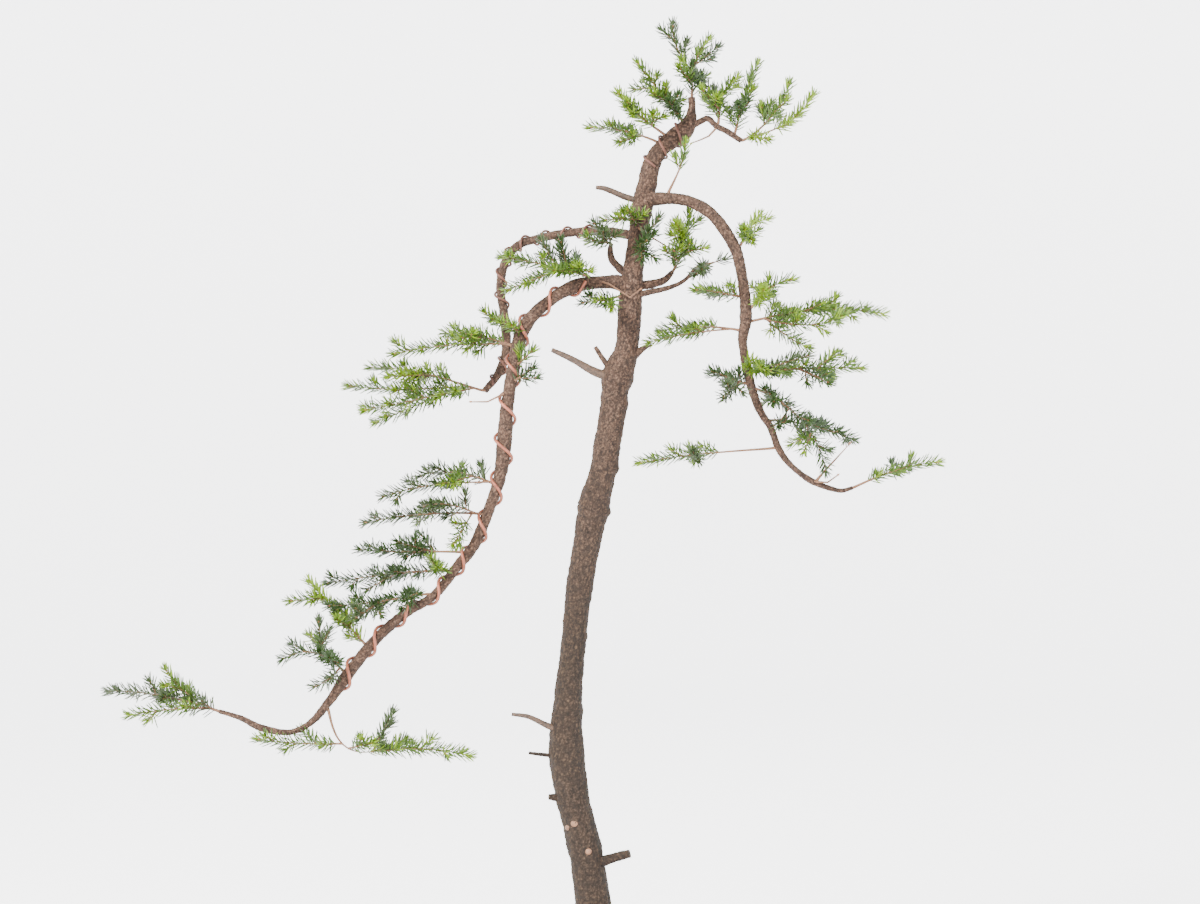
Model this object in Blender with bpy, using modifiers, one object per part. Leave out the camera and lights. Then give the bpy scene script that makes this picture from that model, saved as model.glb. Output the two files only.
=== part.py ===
"""A spruce bonsai in a plain round pot, at real size: metres, Z up, origin under the pot.

A slim leaning trunk carries two boughs to the left and one to the right, each bent and
wired, and sprays of needles that grow from seeded shoots. X is to the viewer's right,
Y away from the viewer. Limbs and shoots are given in millimetres from the origin.
"""

import math
import random

import bmesh
import bpy
import numpy as np
from mathutils import Vector
from mathutils.bvhtree import BVHTree

MM = 0.001
GAP = 0.3 * MM

# Pot: a plain drum with a thick lip
POT_HEIGHT = 0.112
POT_FOOT_RADIUS = 0.128
POT_RADIUS = 0.150
POT_WALL = 0.009
POT_FLOOR = 0.010
LIP_HEIGHT = 0.012
LIP_DEPTH = 0.005
POT_EDGE = 0.004
TURNED_STEPS = 32

# Soil: a low mound, level round the foot of the trunk
SOIL_TOP = 0.105
SOIL_RIM = 0.098
SOIL_LEVEL_RADIUS = 0.062

# Limbs: stations of (right, back, up, diameter) in millimetres
TRUNK = (
    (5, 0, 105.3, 84),
    (5, 0, 118, 68),
    (4, 0, 138, 56),
    (0, 1, 172, 49),
    (-8, 2, 225, 45),
    (-19, 4, 292, 42),
    (-34, 7, 356, 42),
    (-42, 9, 410, 46),
    (-41, 11, 464, 38),
    (-34, 12, 542, 31),
    (-24, 11, 630, 34),
    (-15, 9, 682, 35),
    (-6, 6, 731, 39),
    (3, 4, 764, 34),
    (14, 1, 828, 34),
    (19, 0, 866, 34),
    (23, 0, 888, 41),
    (34, -1, 924, 29),
    (38, -2, 980, 30),
    (42, -2, 1018, 25),
    (46, -1, 1055, 23),
    (51, 0, 1086, 25),
    (56, 2, 1110, 26),
    (62, 4, 1142, 23),
    (74, 5, 1167, 21),
    (90, 5, 1181, 22),
    (105, 5, 1192, 24),
    (113, 4, 1206, 16),
    (115, 4, 1220, 10),
    (115, 4, 1234, 9),
)
LEFT_HIGH_BOUGH = (
    (46, 1, 1060, 13),
    (12, 14, 1066, 12),
    (-30, 26, 1067, 11),
    (-76, 36, 1060, 11),
    (-104, 42, 1051, 11),
    (-120, 45, 1030, 11),
    (-126, 46, 998, 11),
    (-120, 44, 954, 12),
    (-119, 38, 915, 12),
    (-130, 30, 886, 10),
    (-145, 22, 867, 8),
)
LEFT_LOW_BOUGH = (
    (40, -2, 992, 22),
    (24, -7, 1001, 20),
    (0, -13, 1001, 17),
    (-31, -19, 996, 17),
    (-61, -24, 979, 15),
    (-94, -28, 945, 17),
    (-105, -30, 905, 17),
    (-114, -32, 855, 16),
    (-119, -34, 800, 19),
    (-126, -37, 752, 15),
    (-152, -42, 682, 14),
    (-175, -47, 650, 13),
    (-204, -53, 614, 11),
    (-240, -59, 591, 12),
    (-274, -64, 561, 13),
    (-307, -69, 520, 15),
    (-332, -72, 484, 11),
    (-354, -73, 459, 8),
    (-380, -73, 447, 7),
    (-414, -71, 452, 9),
    (-440, -69, 464, 7),
    (-467, -66, 472, 5),
)
RIGHT_BOUGH = (
    (56, -1, 1105, 18),
    (74, -10, 1106, 17),
    (96, -16, 1105, 15),
    (118, -20, 1099, 15),
    (140, -23, 1084, 15),
    (157, -25, 1062, 15),
    (170, -27, 1036, 14),
    (178, -28, 996, 13),
    (181, -27, 956, 15),
    (177, -25, 929, 12),
    (180, -22, 907, 11),
    (186, -18, 879, 12),
    (199, -12, 842, 10),
    (213, -8, 820, 9),
    (223, -5, 794, 9),
    (238, -2, 774, 7),
    (264, 1, 754, 8),
    (298, 4, 742, 6),
    (316, 5, 745, 5),
)
APEX_BOUGH = (
    (105, 5, 1193, 10),
    (124, 4, 1203, 8),
    (135, 4, 1207, 8),
    (146, 5, 1198, 8),
    (160, 7, 1191, 8),
    (177, 8, 1180, 7),
)
CENTRE_BOUGH = (
    (42, 0, 997, 12),
    (64, 4, 1000, 11),
    (80, 6, 1005, 9),
    (91, 8, 1016, 6),
)
CENTRE_LOW_BOUGH = (
    (42, -2, 985, 10),
    (60, -9, 989, 8),
    (86, -8, 995, 6),
    (105, -6, 1004, 5),
    (120, -4, 1020, 5),
)
CENTRE_STUB = (
    (40, 2, 1008, 11),
    (26, 8, 1019, 10),
    (15, 9, 1031, 9),
    (13, 6, 1043, 7),
    (14, 3, 1050, 5),
)

# Dead wood: a peeled snag is a limb of its own, a short stub is part of the trunk
PEELED_SNAG_HIGH = ((51, 0, 1103, 8), (30, -4, 1109, 7), (8, -8, 1118, 6), (-5, -10, 1120, 3))
PEELED_SNAG_LONG = ((22, 0, 884, 11), (-4, -10, 889, 9), (-34, -16, 905, 6), (-60, -20, 917, 3))
PEELED_SNAG_LOW = ((-42, 10, 440, 7), (-64, 2, 447, 5), (-88, -4, 459, 4), (-110, -8, 463, 3))
TRUNK_STUBS = (
    ((16, -4, 890, 10), (5, -9, 904, 7), (-6, -12, 921, 5)),
    ((38, -2, 906, 12), (52, -6, 918, 8), (64, -8, 925, 5)),
    ((-42, 8, 408, 8), (-66, 2, 411, 5), (-89, -2, 414, 4)),
    ((-36, 6, 357, 14), (-54, 2, 358, 10), (-64, 0, 359, 7)),
    ((-14, 4, 270, 18), (12, -6, 282, 13), (37, -12, 290, 10)),
)

# Every limb but the trunk: stations, sides (4 + 2 * resolution), finish, and the places
# where it bends round a gap and is split
LIMBS = {
    "left_high_bough": (LEFT_HIGH_BOUGH, 2, "young_bark", ((-104, 42, 1051),)),
    "left_low_bough": (
        LEFT_LOW_BOUGH,
        2,
        "young_bark",
        ((-94, -28, 945), (-175, -47, 650)),
    ),
    "right_bough": (RIGHT_BOUGH, 2, "young_bark", ((170, -27, 1036),)),
    "apex_bough": (APEX_BOUGH, 1, "young_bark", ()),
    "centre_bough": (CENTRE_BOUGH, 1, "bark", ()),
    "centre_low_bough": (CENTRE_LOW_BOUGH, 1, "bark", ()),
    "centre_stub": (CENTRE_STUB, 1, "bark", ()),
    "peeled_snag_high": (PEELED_SNAG_HIGH, 1, "dead_wood", ()),
    "peeled_snag_long": (PEELED_SNAG_LONG, 1, "dead_wood", ()),
    "peeled_snag_low": (PEELED_SNAG_LOW, 1, "dead_wood", ()),
}
TRUNK_RESOLUTION = 5
STUB_RESOLUTION = 1
TRUNK_STEP = 0.038
BOUGH_STEP = 0.022
AXIS_STEP = 0.003
JOINT_FLAT = 0.002

# Root flare: lobes that die out up the foot
ROOT_LOBES = 5
ROOT_LOBE_DEPTH = 0.20
ROOT_FLARE_HEIGHT = 0.070
FOOT_BAND = 0.004

# Training wire: a helix close round its limb. Each has its limb's stations, the shares of
# its length where it starts and ends, its turns, thickness and first angle
COPPER_WIRE = 4.0 * MM
AGED_WIRE = 3.0 * MM
WIRES = {
    "copper_wire": (LEFT_LOW_BOUGH, 0.075, 0.80, 16, COPPER_WIRE, 2.0),
    "aged_wire": (LEFT_HIGH_BOUGH, 0.13, 0.97, 9, AGED_WIRE, 0.5),
    "apex_wire": (TRUNK, 0.905, 0.962, 2.6, AGED_WIRE, 2.0),
}
WIRE_POINTS_A_TURN = 8
WIRE_STEP = 0.004
WIRE_CLEAR = 1.15 * MM

# Shoots: a slim three-sided core, on a bent stub where it leaves a limb
CORE_RADIUS = 1.7 * MM
CORE_TIP_RADIUS = 0.7 * MM
FORK_RADIUS = 1.4 * MM
CORE_STUB = 1.6 * MM
CORE_BEND = 6.0 * MM
CORE_TWIST = math.radians(37)
BOW_PLACE = 0.55
BOW_GAIN = 1.5
CURVE_STEPS = 60
ROOT_REACH = 0.08
ROOT_SHIFTS = (0, 1, -1, 2, -2, 3, -3)

# Needles: one raised from each face of the core, leaning towards the tip
NEEDLE_LENGTH = 19 * MM
NEEDLE_SPREAD = 0.15
NEEDLE_LEAN = math.radians(52)
NEEDLE_PITCH = 15 * MM
NEEDLE_START = 7 * MM
TIP_PITCH = 9 * MM
NEEDLE_FOOT = 0.45

# What a shoot and a needle keep clear of limbs, wires and each other
CORE_CLEAR = 2.2 * MM
NEEDLE_CLEAR = 1.3 * MM
SHOOT_CLEAR = 2.6 * MM
PROBE_STEP = 2.0 * MM

# Foliage: limb, (right, up) of the root on it, then shoots in millimetres. The first is
# the stem: tip (right, back, up), bow to the left of its way in the picture's plane, and
# the bare share of its length. A fork has its place along the stem before those.
SPRAYS = {
    "apex_crown": (
        "trunk",
        None,
        (116, 4, 1273, 0, 0.0),
        (0.80, 91, -8, 1321, 9, 0.25),
        (0.90, 134, -2, 1303, 3, 0.20),
        (0.97, 146, 10, 1296, 0, 0.20),
        (0.45, 99, -38, 1264, 0, 0.10),
        (0.55, 126, 42, 1267, 0, 0.10),
    ),
    "apex_left_high": (
        "trunk",
        (100, 1205),
        (48, -10, 1273, 0, 0.05),
        (0.60, 44, 8, 1245, 0, 0.10),
        (0.35, 66, -34, 1234, 0, 0.10),
        (0.20, 86, -44, 1222, 0, 0.10),
        (0.25, 84, 38, 1240, 0, 0.10),
    ),
    "apex_left_middle": (
        "trunk",
        (88, 1180),
        (24, -24, 1234, 5, 0.25),
        (0.55, 34, -46, 1222, 0, 0.15),
        (0.30, 66, -46, 1206, 0, 0.20),
    ),
    "apex_left_low": (
        "trunk",
        (78, 1171),
        (-10, 12, 1197, -6, 0.25),
        (0.30, 26, -10, 1177, 0, 0.10),
        (0.50, 20, 44, 1200, 0, 0.20),
    ),
    "apex_middle": (
        "apex_bough",
        (147, 1197),
        (170, -4, 1256, 12, 0.10),
        (0.30, 128, -26, 1238, 0, 0.10),
        (0.45, 131, 12, 1249, 0, 0.10),
        (0.35, 152, 38, 1238, 0, 0.10),
    ),
    "apex_right": (
        "apex_bough",
        (166, 1187),
        (196, 2, 1273, 4, 0.05),
        (0.30, 172, -36, 1218, 0, 0.10),
        (0.35, 178, 40, 1226, 0, 0.10),
    ),
    "apex_right_tip": (
        "apex_bough",
        None,
        (236, -8, 1248, -12, 0.35),
        (0.10, 266, 14, 1236, -16, 0.35),
        (0.45, 201, 18, 1221, 0, 0.20),
        (0.15, 208, -24, 1178, 0, 0.20),
        (0.55, 226, 38, 1214, 0, 0.15),
    ),
    "right_bough_upright": (
        "right_bough",
        (86, 1106),
        (106, -24, 1171, -5, 0.50),
    ),
    "centre_front_high": (
        "trunk",
        (49, 1074),
        (34, -52, 1088, 0, 0.10),
        (0.40, 8, -36, 1077, 0, 0.15),
    ),
    "centre_left_tuft": (
        "centre_stub",
        None,
        (-16, -26, 1056, 3, 0.05),
        (0.30, 4, -52, 1062, 0, 0.15),
    ),
    "centre_front": (
        "trunk",
        (45, 1046),
        (58, -56, 1050, 0, 0.05),
        (0.40, 72, -44, 1078, 0, 0.15),
        (0.30, 52, -40, 1030, 0, 0.10),
    ),
    "centre_right": (
        "centre_bough",
        None,
        (112, 4, 1089, -6, 0.05),
        (0.20, 82, -24, 1040, 0, 0.15),
        (0.35, 129, -12, 1044, 0, 0.15),
        (0.30, 114, 42, 1046, 0, 0.10),
        (0.55, 96, -28, 1072, 0, 0.10),
        (0.60, 98, 34, 1080, 0, 0.10),
    ),
    "centre_low": (
        "centre_low_bough",
        None,
        (156, 4, 1031, 0, 0.70),
        (0.30, 126, -38, 1016, 0, 0.15),
        (0.35, 132, 30, 1018, 0, 0.15),
    ),
    "left_centre": (
        "left_low_bough",
        (-12, 1000),
        (-119, -36, 1031, -3, 0.12),
        (0.28, -48, -44, 1049, 0, 0.15),
        (0.22, -56, -78, 1012, 0, 0.15),
        (0.40, -72, -16, 1052, 0, 0.15),
        (0.35, -112, -54, 990, 0, 0.20),
        (0.15, -26, -58, 1018, 0, 0.15),
        (0.20, -30, 20, 1036, 0, 0.15),
    ),
    "left_centre_low": (
        "trunk",
        (38, 982),
        (-20, -36, 975, 0, 0.35),
        (0.30, 14, -58, 968, 0, 0.20),
    ),
    "right_back": (
        "right_bough",
        (167, 1043),
        (199, 0, 1084, 3, 0.15),
        (0.30, 178, -58, 1063, 0, 0.15),
        (0.35, 188, 32, 1060, 0, 0.15),
    ),
    "right_upper": (
        "right_bough",
        (181, 966),
        (236, -36, 1003, 10, 0.08),
        (0.30, 200, -76, 988, 0, 0.10),
        (0.35, 206, 18, 996, 0, 0.10),
    ),
    "right_upper_inner": (
        "right_bough",
        (178, 984),
        (120, -44, 990, -2, 0.05),
        (0.35, 138, -6, 986, 0, 0.15),
    ),
    "right_middle": (
        "right_bough",
        (181, 952),
        (350, -16, 962, 14, 0.12),
        (0.10, 297, -58, 957, -14, 0.10),
        (0.12, 256, -34, 920, -4, 0.10),
        (0.42, 272, -44, 972, 0, 0.15),
        (0.22, 246, 44, 962, 0, 0.15),
        (0.50, 312, 30, 966, 0, 0.15),
    ),
    "right_middle_inner": (
        "right_bough",
        (177, 940),
        (76, -34, 940, -7, 0.28),
        (0.12, 62, -60, 925, -4, 0.35),
        (0.40, 112, 6, 938, 0, 0.20),
    ),
    "right_lower": (
        "right_bough",
        (184, 889),
        (322, -24, 894, 3, 0.08),
        (0.06, 254, -62, 908, 0, 0.10),
        (0.05, 196, -84, 894, 0, 0.15),
        (0.62, 290, -34, 911, 0, 0.10),
        (0.45, 280, -58, 876, 0, 0.15),
        (0.25, 238, 36, 888, 0, 0.15),
        (0.55, 292, 22, 886, 0, 0.15),
    ),
    "right_lower_inner": (
        "right_bough",
        (183, 876),
        (141, -34, 889, 0, 0.05),
        (0.25, 152, -74, 857, 0, 0.15),
        (0.30, 156, 22, 876, 0, 0.15),
    ),
    "right_hanging": (
        "right_bough",
        (190, 867),
        (280, -22, 768, 25, 0.22),
        (0.18, 214, -56, 852, 0, 0.15),
        (0.22, 214, 30, 858, 0, 0.15),
        (0.60, 262, -2, 806, 0, 0.15),
        (0.65, 252, -46, 792, 0, 0.15),
    ),
    "right_hanging_back": (
        "right_bough",
        (208, 828),
        (319, 36, 806, 7, 0.25),
        (0.12, 222, -30, 822, 0, 0.15),
        (0.20, 236, 36, 846, 0, 0.95),
        (0.50, 286, 66, 820, 0, 0.15),
    ),
    "right_low_inner": (
        "right_bough",
        (222, 796),
        (52, -20, 777, -4, 0.42),
        (0.60, 122, -46, 780, 0, 0.10),
        (0.62, 118, 18, 785, 0, 0.10),
    ),
    "right_twig": (
        "right_bough",
        (268, 752),
        (310, -20, 800, 0, 0.95),
    ),
    "right_tip": (
        "right_bough",
        None,
        (422, 8, 777, 8, 0.20),
        (0.45, 388, 40, 768, 0, 0.15),
    ),
    "left_tier_front": (
        "left_low_bough",
        (-104, 922),
        (-189, -34, 937, -6, 0.15),
        (0.10, -252, -52, 911, -7, 0.15),
        (0.45, -168, -70, 930, 0, 0.15),
        (0.60, -178, 4, 934, 0, 0.15),
    ),
    "left_tier_back": (
        "left_high_bough",
        None,
        (-286, 18, 896, -10, 0.30),
        (0.16, -311, -14, 872, 6, 0.15),
        (0.14, -290, -34, 842, 2, 0.25),
        (0.18, -281, 24, 828, 0, 0.25),
        (0.10, -196, -30, 861, 0, 0.15),
        (0.45, -244, 64, 888, 0, 0.15),
        (0.50, -262, -8, 884, 0, 0.15),
    ),
    "left_upper_pair": (
        "left_low_bough",
        (-126, 750),
        (-221, -30, 761, -12, 0.10),
        (0.05, -264, -66, 736, -8, 0.25),
        (0.30, -190, -80, 752, 0, 0.20),
        (0.40, -186, 2, 762, 0, 0.20),
    ),
    "left_middle_high": (
        "left_low_bough",
        (-141, 712),
        (-288, -44, 703, -7, 0.22),
        (0.06, -215, -76, 724, -9, 0.15),
        (0.10, -178, -90, 678, 0, 0.25),
        (0.40, -226, 0, 712, 0, 0.15),
    ),
    "left_middle": (
        "left_low_bough",
        (-166, 663),
        (-294, -46, 669, 2, 0.25),
        (0.30, -246, -86, 680, 0, 0.15),
        (0.35, -246, -8, 672, 0, 0.15),
    ),
    "left_middle_long": (
        "left_low_bough",
        (-182, 641),
        (-335, -44, 628, -4, 0.05),
        (0.12, -198, -96, 650, 0, 0.15),
        (0.45, -284, -66, 622, 0, 0.15),
        (0.30, -262, -2, 634, 0, 0.15),
    ),
    "left_middle_dark": (
        "left_low_bough",
        (-206, 612),
        (-329, -92, 603, 4, 0.12),
        (0.15, -236, -118, 612, 0, 0.15),
        (0.50, -294, -118, 590, 0, 0.15),
        (0.40, -290, -54, 594, 0, 0.15),
    ),
    "left_lower_fork": (
        "left_low_bough",
        (-284, 550),
        (-356, -62, 630, 0, 0.05),
        (0.75, -377, -78, 608, 0, 0.10),
        (0.30, -318, -104, 586, 0, 0.10),
        (0.30, -298, -24, 594, 0, 0.10),
    ),
    "left_lower_fan": (
        "left_low_bough",
        (-309, 517),
        (-384, -96, 539, -22, 0.10),
        (0.45, -343, -84, 582, 0, 0.15),
        (0.10, -346, -92, 505, 4, 0.15),
        (0.30, -326, -128, 542, 0, 0.15),
        (0.40, -350, -36, 558, 0, 0.15),
    ),
    "left_tip": (
        "left_low_bough",
        None,
        (-602, -60, 496, -9, 0.05),
        (0.10, -572, -88, 469, -4, 0.10),
        (0.14, -532, -62, 521, 5, 0.15),
        (0.35, -548, -18, 488, 0, 0.15),
    ),
    "left_hanging": (
        "left_low_bough",
        (-336, 478),
        (-270, -80, 426, -34, 0.85),
        (0.97, -162, -62, 417, 8, 0.05),
        (0.92, -254, -92, 471, 0, 0.10),
        (0.60, -276, -112, 438, 0, 0.15),
        (0.50, -414, -96, 440, 3, 0.08),
        (0.90, -236, -36, 430, 0, 0.15),
    ),
}
SEED = 11

# Colours and finishes, as base colour, roughness and metallic
FINISHES = {
    "bark": ((0.105, 0.066, 0.045), 0.90, 0.0),
    "young_bark": ((0.190, 0.115, 0.075), 0.85, 0.0),
    "dead_wood": ((0.340, 0.190, 0.105), 0.80, 0.0),
    "needles": ((0.090, 0.200, 0.030), 0.60, 0.0),
    "copper": ((0.500, 0.210, 0.130), 0.40, 0.9),
    "stoneware": ((0.130, 0.095, 0.075), 0.75, 0.0),
    "soil": ((0.075, 0.050, 0.032), 0.95, 0.0),
}


def clear_scene():
    for obj in list(bpy.data.objects):
        bpy.data.objects.remove(obj)


def new_collection(name, parent=None):
    made = bpy.data.collections.new(name)
    (parent or bpy.context.scene.collection).children.link(made)
    return made


def finish(name):
    """The Principled material of that name, made once."""
    if name in bpy.data.materials:
        return bpy.data.materials[name]
    colour, roughness, metallic = FINISHES[name]
    material = bpy.data.materials.new(name)
    material.use_nodes = True
    shader = material.node_tree.nodes["Principled BSDF"]
    shader.inputs["Base Color"].default_value = (*colour, 1)
    shader.inputs["Roughness"].default_value = roughness
    shader.inputs["Metallic"].default_value = metallic
    material.diffuse_color = (*colour, 1)
    return material


def place(name, mesh, collection, material=None):
    """A new object at the origin, with its material."""
    obj = bpy.data.objects.new(name, mesh)
    collection.objects.link(obj)
    if material:
        mesh.materials.clear()
        mesh.materials.append(finish(material))
    return obj


def evaluated_mesh(obj):
    bpy.context.view_layer.update()
    graph = bpy.context.evaluated_depsgraph_get()
    return bpy.data.meshes.new_from_object(obj.evaluated_get(graph))


def bake(obj):
    """The object with its modifiers worked into its mesh."""
    mesh = evaluated_mesh(obj)
    obj.modifiers.clear()
    obj.data = mesh


def smooth_path(stations, step):
    """Points and radii about a step apart, on a smooth curve through the stations."""
    known = np.array(stations, float) * MM
    ends = np.vstack([2 * known[0] - known[1], known, 2 * known[-1] - known[-2]])
    path = [known[0]]
    for before, start, end, after in zip(ends, ends[1:], ends[2:], ends[3:]):
        parts = max(1, round(float(np.linalg.norm((end - start)[:3])) / step))
        for part in range(1, parts + 1):
            t = part / parts
            path.append(
                0.5
                * (
                    2 * start
                    + (end - before) * t
                    + (2 * before - 5 * start + 4 * end - after) * t**2
                    + (3 * start - before - 3 * end + after) * t**3
                )
            )
    path = np.array(path)
    return path[:, :3], path[:, 3] / 2


def curve_tube(name, points, radii, resolution, collection, section=None, twist=0.0):
    """A capped curve along the points, round or with the section curve's outline."""
    data = bpy.data.curves.new(name, "CURVE")
    data.dimensions = "3D"
    data.use_fill_caps = True
    if section:
        data.bevel_mode = "OBJECT"
        data.bevel_object = section
    else:
        data.bevel_depth = 1
        data.bevel_resolution = resolution
    spline = data.splines.new("POLY")
    spline.points.add(len(points) - 1)
    for index, (knot, point, radius) in enumerate(zip(spline.points, points, radii)):
        knot.co = (*point, 1)
        knot.radius = radius
        knot.tilt = index * twist
    obj = bpy.data.objects.new(name, data)
    collection.objects.link(obj)
    return obj


def solid_tube(name, points, radii, resolution, collection, section=None, twist=0.0):
    """A tube as one closed mesh, with its caps welded on."""
    curve = curve_tube(name, points, radii, resolution, collection, section, twist)
    mesh = evaluated_mesh(curve)
    data = curve.data
    bpy.data.objects.remove(curve)
    bpy.data.curves.remove(data)
    body = bmesh.new()
    body.from_mesh(mesh)
    bmesh.ops.remove_doubles(body, verts=body.verts, dist=1e-6)
    bmesh.ops.recalc_face_normals(body, faces=body.faces)
    body.to_mesh(mesh)
    body.free()
    return place(name, mesh, collection)


def boolean(obj, operation, other=None, group=None):
    """The object cut by another, or joined with one or with a collection of them."""
    cut = obj.modifiers.new(operation, "BOOLEAN")
    cut.operation = operation
    cut.solver = "EXACT"
    if group:
        cut.operand_type = "COLLECTION"
        cut.collection = group
    else:
        cut.object = other
    bake(obj)


def turned(name, profile, collection, material):
    """A solid of revolution. The profile runs from the axis out and down to the axis."""
    mesh = bpy.data.meshes.new(name)
    outline = bmesh.new()
    corners = [outline.verts.new((radius, 0, height)) for radius, height in profile]
    for one, other in zip(corners, corners[1:]):
        outline.edges.new((one, other))
    outline.to_mesh(mesh)
    outline.free()
    obj = place(name, mesh, collection, material)
    screw = obj.modifiers.new("turn", "SCREW")
    screw.steps = TURNED_STEPS
    screw.render_steps = TURNED_STEPS
    screw.use_merge_vertices = True
    screw.merge_threshold = 1e-5
    screw.use_smooth_shade = True
    return obj


def make_pot(collection):
    lip = POT_HEIGHT - LIP_HEIGHT
    inside = POT_RADIUS - POT_WALL
    foot_inside = POT_FOOT_RADIUS - POT_WALL
    profile = [
        (0, POT_FLOOR),
        (foot_inside, POT_FLOOR),
        (inside, lip),
        (inside, POT_HEIGHT - POT_EDGE / 2),
        (inside + POT_EDGE / 2, POT_HEIGHT),
        (POT_RADIUS + LIP_DEPTH - POT_EDGE, POT_HEIGHT),
        (POT_RADIUS + LIP_DEPTH, POT_HEIGHT - POT_EDGE),
        (POT_RADIUS + LIP_DEPTH, lip + POT_EDGE / 2),
        (POT_RADIUS, lip - POT_EDGE / 2),
        (POT_FOOT_RADIUS + POT_EDGE / 2, POT_EDGE),
        (POT_FOOT_RADIUS - POT_EDGE, 0),
        (0, 0),
    ]
    return turned("pot", profile, collection, "stoneware")


def make_soil(collection):
    """The filling, a gap clear of the pot's inner wall and floor."""
    lip = POT_HEIGHT - LIP_HEIGHT
    bottom = POT_FLOOR + GAP
    inside = POT_RADIUS - POT_WALL
    slope = (inside - (POT_FOOT_RADIUS - POT_WALL)) / (lip - POT_FLOOR)
    rim = inside - slope * (lip - SOIL_RIM) - 2 * GAP
    foot = rim - slope * (SOIL_RIM - bottom)
    profile = [
        (0, SOIL_TOP),
        (SOIL_LEVEL_RADIUS, SOIL_TOP),
        ((SOIL_LEVEL_RADIUS + rim) / 2, (SOIL_TOP + SOIL_RIM) / 2 + 1.5 * MM),
        (rim, SOIL_RIM),
        (foot, bottom),
        (0, bottom),
    ]
    return turned("soil", profile, collection, "soil")


def flare_roots(obj):
    """Swells the foot into lobes where the roots spread, and cuts it level."""
    foot = Vector(TRUNK[0][:3]) * MM
    for vertex in obj.data.vertices:
        rise = (vertex.co.z - foot.z) / ROOT_FLARE_HEIGHT
        if rise >= 1:
            continue
        away = Vector((vertex.co.x - foot.x, vertex.co.y - foot.y, 0))
        angle = math.atan2(away.y, away.x)
        lobe = math.cos(ROOT_LOBES * angle + 1) + 0.5 * math.cos(2 * angle)
        vertex.co += away * lobe * ROOT_LOBE_DEPTH * (1 - max(rise, 0)) ** 2
        if vertex.co.z < foot.z + FOOT_BAND:
            vertex.co.z = foot.z


def make_trunk(collection, workshop):
    """The whole trunk from its level foot to its tip, with its dead stubs."""
    points, radii = smooth_path(TRUNK, TRUNK_STEP)
    trunk = solid_tube("trunk", points, radii, TRUNK_RESOLUTION, collection)
    flare_roots(trunk)
    stubs = new_collection("stubs", workshop)
    for number, stations in enumerate(TRUNK_STUBS):
        path, sizes = smooth_path(stations, BOUGH_STEP)
        solid_tube(f"stub_{number}", path, sizes, STUB_RESOLUTION, stubs)
    boolean(trunk, "UNION", group=stubs)
    for stub in list(stubs.objects):
        bpy.data.objects.remove(stub)
    trunk.data.materials.append(finish("bark"))
    return trunk


def make_limb(name, row, collection, cutter):
    """One limb from the trunk's surface out, in pieces that meet at its bends."""
    stations, resolution, material, bends = row
    points, radii = smooth_path(stations, BOUGH_STEP)
    marks = [int(np.argmin(abs(points - np.array(bend) * MM).sum(1))) for bend in bends]
    ends = [0, *marks, len(points) - 1]
    pieces = []
    for number, (first, last) in enumerate(zip(ends, ends[1:])):
        run = list(points[first : last + 1])
        sizes = list(radii[first : last + 1])
        if number:
            flatten_end(run, sizes, 0, points[first + 1] - points[first - 1])
        if last < len(points) - 1:
            flatten_end(run, sizes, -1, points[last - 1] - points[last + 1])
        label = name if len(ends) == 2 else f"{name}_{number + 1}"
        piece = solid_tube(label, run, sizes, resolution, collection)
        if not number:
            boolean(piece, "DIFFERENCE", other=cutter)
        piece.data.materials.clear()
        piece.data.materials.append(finish(material))
        pieces.append(piece)
    return pieces


def flatten_end(run, sizes, end, inward):
    """Squares a piece's end to the limb and draws it back by half of the gap."""
    inward = inward / np.linalg.norm(inward)
    face = run[end] + inward * GAP / 2
    behind = run[end] + inward * (GAP / 2 + JOINT_FLAT)
    run[end] = behind
    index = 0 if end == 0 else len(run)
    run.insert(index, face)
    sizes.insert(index, sizes[end])


def frames_along(points):
    """A side and an up direction at each point that turn as little as they can."""
    ahead = np.gradient(points, axis=0)
    ahead /= np.linalg.norm(ahead, axis=1)[:, None]
    side = np.cross(ahead[0], (0, 1, 0))
    sides = []
    for direction in ahead:
        side = side - direction * (side @ direction)
        side /= np.linalg.norm(side)
        sides.append(side)
    sides = np.array(sides)
    return sides, np.cross(ahead, sides)


def make_wire(name, row, collection):
    """A wire wound round a limb between two shares of its length."""
    stations, start, end, turns, thickness, phase = row
    points, radii = smooth_path(stations, WIRE_STEP)
    sides, ups = frames_along(points)
    count = int(turns * WIRE_POINTS_A_TURN) + 1
    chord = math.cos(math.pi / WIRE_POINTS_A_TURN)
    places = np.linspace(start, end, count) * (len(points) - 1)
    whole = np.arange(len(points))
    path = []
    for number, where in enumerate(places):
        angle = phase + number * 2 * math.pi / WIRE_POINTS_A_TURN
        reach = (np.interp(where, whole, radii) + WIRE_CLEAR + thickness / 2) / chord
        low = min(int(where), len(points) - 2)
        centre = points[low] + (points[low + 1] - points[low]) * (where - low)
        out = math.cos(angle) * sides[low] + math.sin(angle) * ups[low]
        path.append(centre + reach * out)
    wire = solid_tube(name, path, [thickness / 2] * count, 0, collection)
    wire.data.materials.append(finish("copper"))
    return wire


def surface_of(obj):
    """A search tree over the object's finished surface."""
    mesh = evaluated_mesh(obj)
    corners = [vertex.co.copy() for vertex in mesh.vertices]
    faces = [tuple(face.vertices) for face in mesh.polygons]
    bpy.data.meshes.remove(mesh)
    return BVHTree.FromPolygons(corners, faces)


def near(surfaces, point, clearance):
    return any(tree.find_nearest(point, clearance)[0] is not None for tree in surfaces)


def bezier(corners, t):
    a, b, c, d = corners
    s = 1 - t
    return a * s**3 + 3 * b * s**2 * t + 3 * c * s * t**2 + d * t**3


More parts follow.
